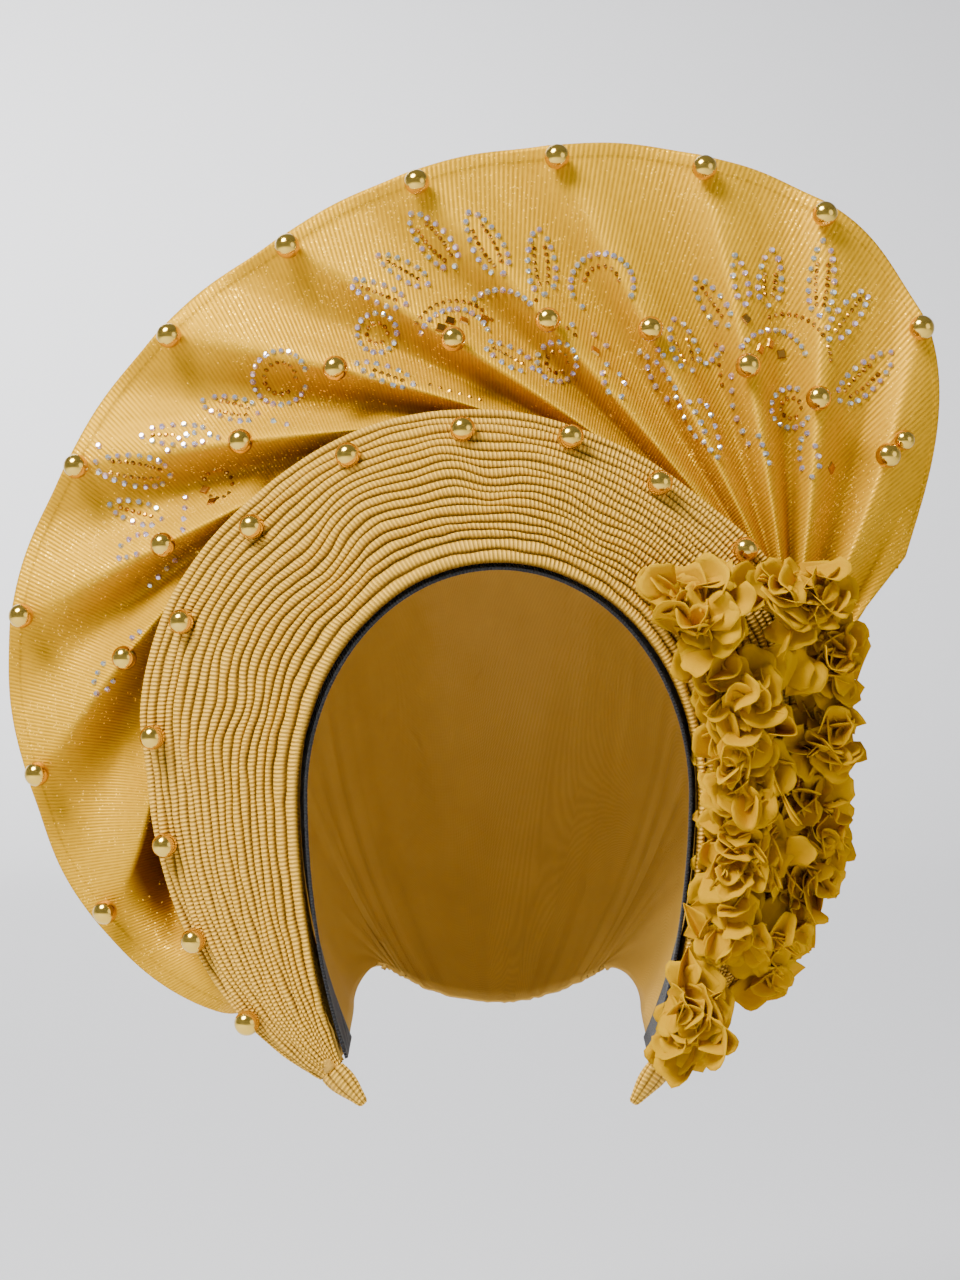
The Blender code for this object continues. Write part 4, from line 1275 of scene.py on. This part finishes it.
def add_flower(node, number, finish):
    low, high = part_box(node)
    centre = Vector(((low.x + high.x) / 2, high.y - 0.001, (low.z + high.z) / 2))
    draws = random.Random(FLOWER_SEED + number)
    yaw = min(max((centre.x - FLOWER_MIDDLE_X) / FLOWER_HALF_WIDTH, -0.7), 1.0) * FLOWER_YAW
    yaw = math.radians(yaw + draws.uniform(-FLOWER_WANDER, FLOWER_WANDER))
    pitch = min(max((centre.z - FLOWER_MIDDLE_Z) / FLOWER_HALF_HEIGHT, -1.0), 1.0) * FLOWER_PITCH
    pitch = math.radians(pitch + draws.uniform(-FLOWER_WANDER, FLOWER_WANDER))
    level = math.cos(pitch)
    axis = Vector((math.sin(yaw) * level, -math.cos(yaw) * level, math.sin(pitch)))
    facing_way = Vector((0, 0, 1)).rotation_difference(axis).to_matrix().to_4x4()
    flower = bmesh.new()
    marks = {"outward": [], "shade": []}
    flower_petals(flower, centre, facing_way, draws, marks)
    name = node + "_petals"
    piece = add_piece(name, smooth_mesh(name, flower, **marks), finish, node)
    add_wall(piece, PETAL_WALL, 0.0)
    return piece


def add_light(name, power, size, place, target):
    lamp = bpy.data.lights.new(name, "AREA")
    lamp.energy = power
    lamp.shape = "DISK"
    lamp.size = size
    holder = bpy.data.objects.new(name, lamp)
    holder.location = place
    holder.rotation_euler = (Vector(target) - Vector(place)).to_track_quat("-Z", "Y").to_euler()
    bpy.context.scene.collection.objects.link(holder)


def add_floor(drop, finish):
    """A wide seamless floor that curves up far away, so that every view has a plain pale ground."""
    floor = bmesh.new()
    bmesh.ops.create_grid(floor, x_segments=96, y_segments=96, size=9.0)
    for point in floor.verts:
        reach = math.hypot(point.co.x, point.co.y)
        rise = max(0.0, reach - 3.0)
        point.co.z = drop + 0.16 * rise**2
    mesh = smooth_mesh("floor", floor)
    mesh.materials.append(finish)
    holder = bpy.data.objects.new("floor", mesh)
    bpy.context.scene.collection.objects.link(holder)


def add_camera():
    camera = bpy.data.cameras.new("camera")
    camera.lens = CAMERA_LENS
    camera.sensor_width = SENSOR
    holder = bpy.data.objects.new("camera", camera)
    holder.location = CAMERA_PLACE
    holder.rotation_euler = (math.radians(90), 0.0, 0.0)
    bpy.context.scene.collection.objects.link(holder)
    bpy.context.scene.camera = holder


class GELE_OT_pleated_band(bpy.types.Operator):
    """Add the pleated band round the face"""

    bl_idname = "gele.pleated_band"
    bl_label = "Pleated band"

    def execute(self, context):
        cloth = context.scene.gele_cloth
        piece = add_pleated_band(pleat_material(cloth), plain_material(cloth))
        return {"FINISHED"}


class GELE_OT_fan(bpy.types.Operator):
    """Add the folded fan of ribbed cloth"""

    bl_idname = "gele.fan"
    bl_label = "Fan"

    def execute(self, context):
        piece = add_fan_cloth(fan_material(context.scene.gele_cloth))
        return {"FINISHED"}


class GELE_OT_cap(bpy.types.Operator):
    """Add the crown cap, the stretch band inside it and the cuffs at the band's ends"""

    bl_idname = "gele.cap"
    bl_label = "Cap and cuffs"

    def execute(self, context):
        cloth = context.scene.gele_cloth
        plain = plain_material(cloth)
        cap = add_cap_cloth(plain)
        band = add_stretch_band(stretch_material(cloth))
        ribbed = pleat_material(cloth)
        add_cuff("left_end_cuff", 0, ribbed)
        add_cuff("right_end_cuff", len(BAND_SECTIONS) - 1, ribbed)
        return {"FINISHED"}


class GELE_OT_beads(bpy.types.Operator):
    """Add the gold beads"""

    bl_idname = "gele.beads"
    bl_label = "Gold beads"

    def execute(self, context):
        finish = bead_material(context.scene.gele_trim)
        nodes = sorted(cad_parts)
        for kind in ("rim_bead", "fold_bead", "band_bead", "side_bead"):
            add_beads(kind + "_row", [node for node in nodes if node.startswith(kind)], finish)
        return {"FINISHED"}


class GELE_OT_rhinestones(bpy.types.Operator):
    """Add the sprays of rhinestones and gold studs on the fan"""

    bl_idname = "gele.rhinestones"
    bl_label = "Rhinestones"

    def execute(self, context):
        trim = context.scene.gele_trim
        tree = tree_of(bpy.data.objects["fan_cloth"])
        places = stone_places()
        beads = [photo_pixel(node_middle(node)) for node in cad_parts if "bead" in node]
        squares = [(stud.px, stud.py) for stud in SQUARE_STUDS]
        crystals = clear_places(places["crystal"], beads, CRYSTAL_ROOM)
        studs = clear_places(squares + crystals + places["stud"], beads, STUD_ROOM)
        studs = [place for place in studs if place not in squares and place not in crystals]
        crystal, stud = crystal_material(trim), stud_material(trim)
        add_stones("crystal_spray", tree, crystals, trim.crystal_radius, CRYSTAL_CUT, crystal)
        add_stones("gold_stud_spray", tree, studs, trim.stud_radius, STUD_CUT, stud)
        add_stones("square_studs", tree, squares, trim.square_side * 0.7, SQUARE_CUT, stud)
        return {"FINISHED"}


class GELE_OT_flowers(bpy.types.Operator):
    """Add the chiffon flowers at the cheek"""

    bl_idname = "gele.flowers"
    bl_label = "Chiffon flowers"

    def execute(self, context):
        finish = chiffon_material(context.scene.gele_trim)
        nodes = sorted(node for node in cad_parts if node.startswith("flower_"))
        for number, node in enumerate(nodes):
            add_flower(node, number, finish)
        return {"FINISHED"}


class GELE_OT_studio(bpy.types.Operator):
    """Add the pale floor, the soft lights and the camera"""

    bl_idname = "gele.studio"
    bl_label = "Studio"

    def execute(self, context):
        studio = context.scene.gele_studio
        add_floor(studio.floor_drop, paper_material(studio))
        middle = (0.0, 0.0, -0.06)
        add_light("key_light", studio.key_power, 1.0, (-0.92, -0.95, 1.45), middle)
        add_light("fill_light", studio.fill_power, 1.4, (1.5, -1.2, 0.3), middle)
        add_light("back_light", studio.fill_power, 1.4, (-0.4, 1.7, 1.0), middle)
        floor_power = studio.key_power * FLOOR_LIGHT_SHARE
        add_light("floor_light", floor_power, 3.0, (-1.6, 3.4, 3.6), (-1.6, 6.5, 0.4))
        world = bpy.data.worlds.new("soft_room")
        world.use_nodes = True
        room = world.node_tree
        way = add_node(room, "ShaderNodeTexCoord", {}, "Generated")
        height = add_node(room, "ShaderNodeSeparateXYZ", {0: way}, 2)
        light = add_node(
            room, "ShaderNodeMapRange",
            {"Value": height, "From Min": -0.6, "From Max": 0.9, "To Min": 0.06, "To Max": 0.38},
        )
        ground = room.nodes["Background"]
        ground.inputs["Color"].default_value = rgba(studio.room_colour)
        room.links.new(light, ground.inputs["Strength"])
        context.scene.world = world
        add_camera()
        return {"FINISHED"}


OPERATORS = (
    GELE_OT_pleated_band,
    GELE_OT_fan,
    GELE_OT_cap,
    GELE_OT_beads,
    GELE_OT_rhinestones,
    GELE_OT_flowers,
    GELE_OT_studio,
)
SETTINGS = (
    ("gele_cloth", GeleClothSettings),
    ("gele_trim", GeleTrimSettings),
    ("gele_studio", GeleStudioSettings),
)


class GELE_PT_panel(bpy.types.Panel):
    """Pieces and settings of the head tie"""

    bl_idname = "GELE_PT_panel"
    bl_label = "Tied gele"
    bl_space_type = "VIEW_3D"
    bl_region_type = "UI"
    bl_category = "Gele"

    def draw(self, context):
        for holder, group in SETTINGS:
            box = self.layout.box()
            for name in group.__annotations__:
                box.prop(getattr(context.scene, holder), name)
        for operator in OPERATORS:
            self.layout.operator(operator.bl_idname)


def register():
    for holder, group in SETTINGS:
        bpy.utils.register_class(group)
        setattr(bpy.types.Scene, holder, bpy.props.PointerProperty(type=group))
    for operator in OPERATORS:
        bpy.utils.register_class(operator)
    bpy.utils.register_class(GELE_PT_panel)


def unregister():
    bpy.utils.unregister_class(GELE_PT_panel)
    for operator in reversed(OPERATORS):
        bpy.utils.unregister_class(operator)
    for holder, group in reversed(SETTINGS):
        delattr(bpy.types.Scene, holder)
        bpy.utils.unregister_class(group)


def main():
    register()
    bpy.ops.gele.pleated_band()
    bpy.ops.gele.fan()
    bpy.ops.gele.cap()
    bpy.ops.gele.beads()
    bpy.ops.gele.rhinestones()
    bpy.ops.gele.flowers()
    bpy.ops.gele.studio()


if __name__ == "__main__":
    main()
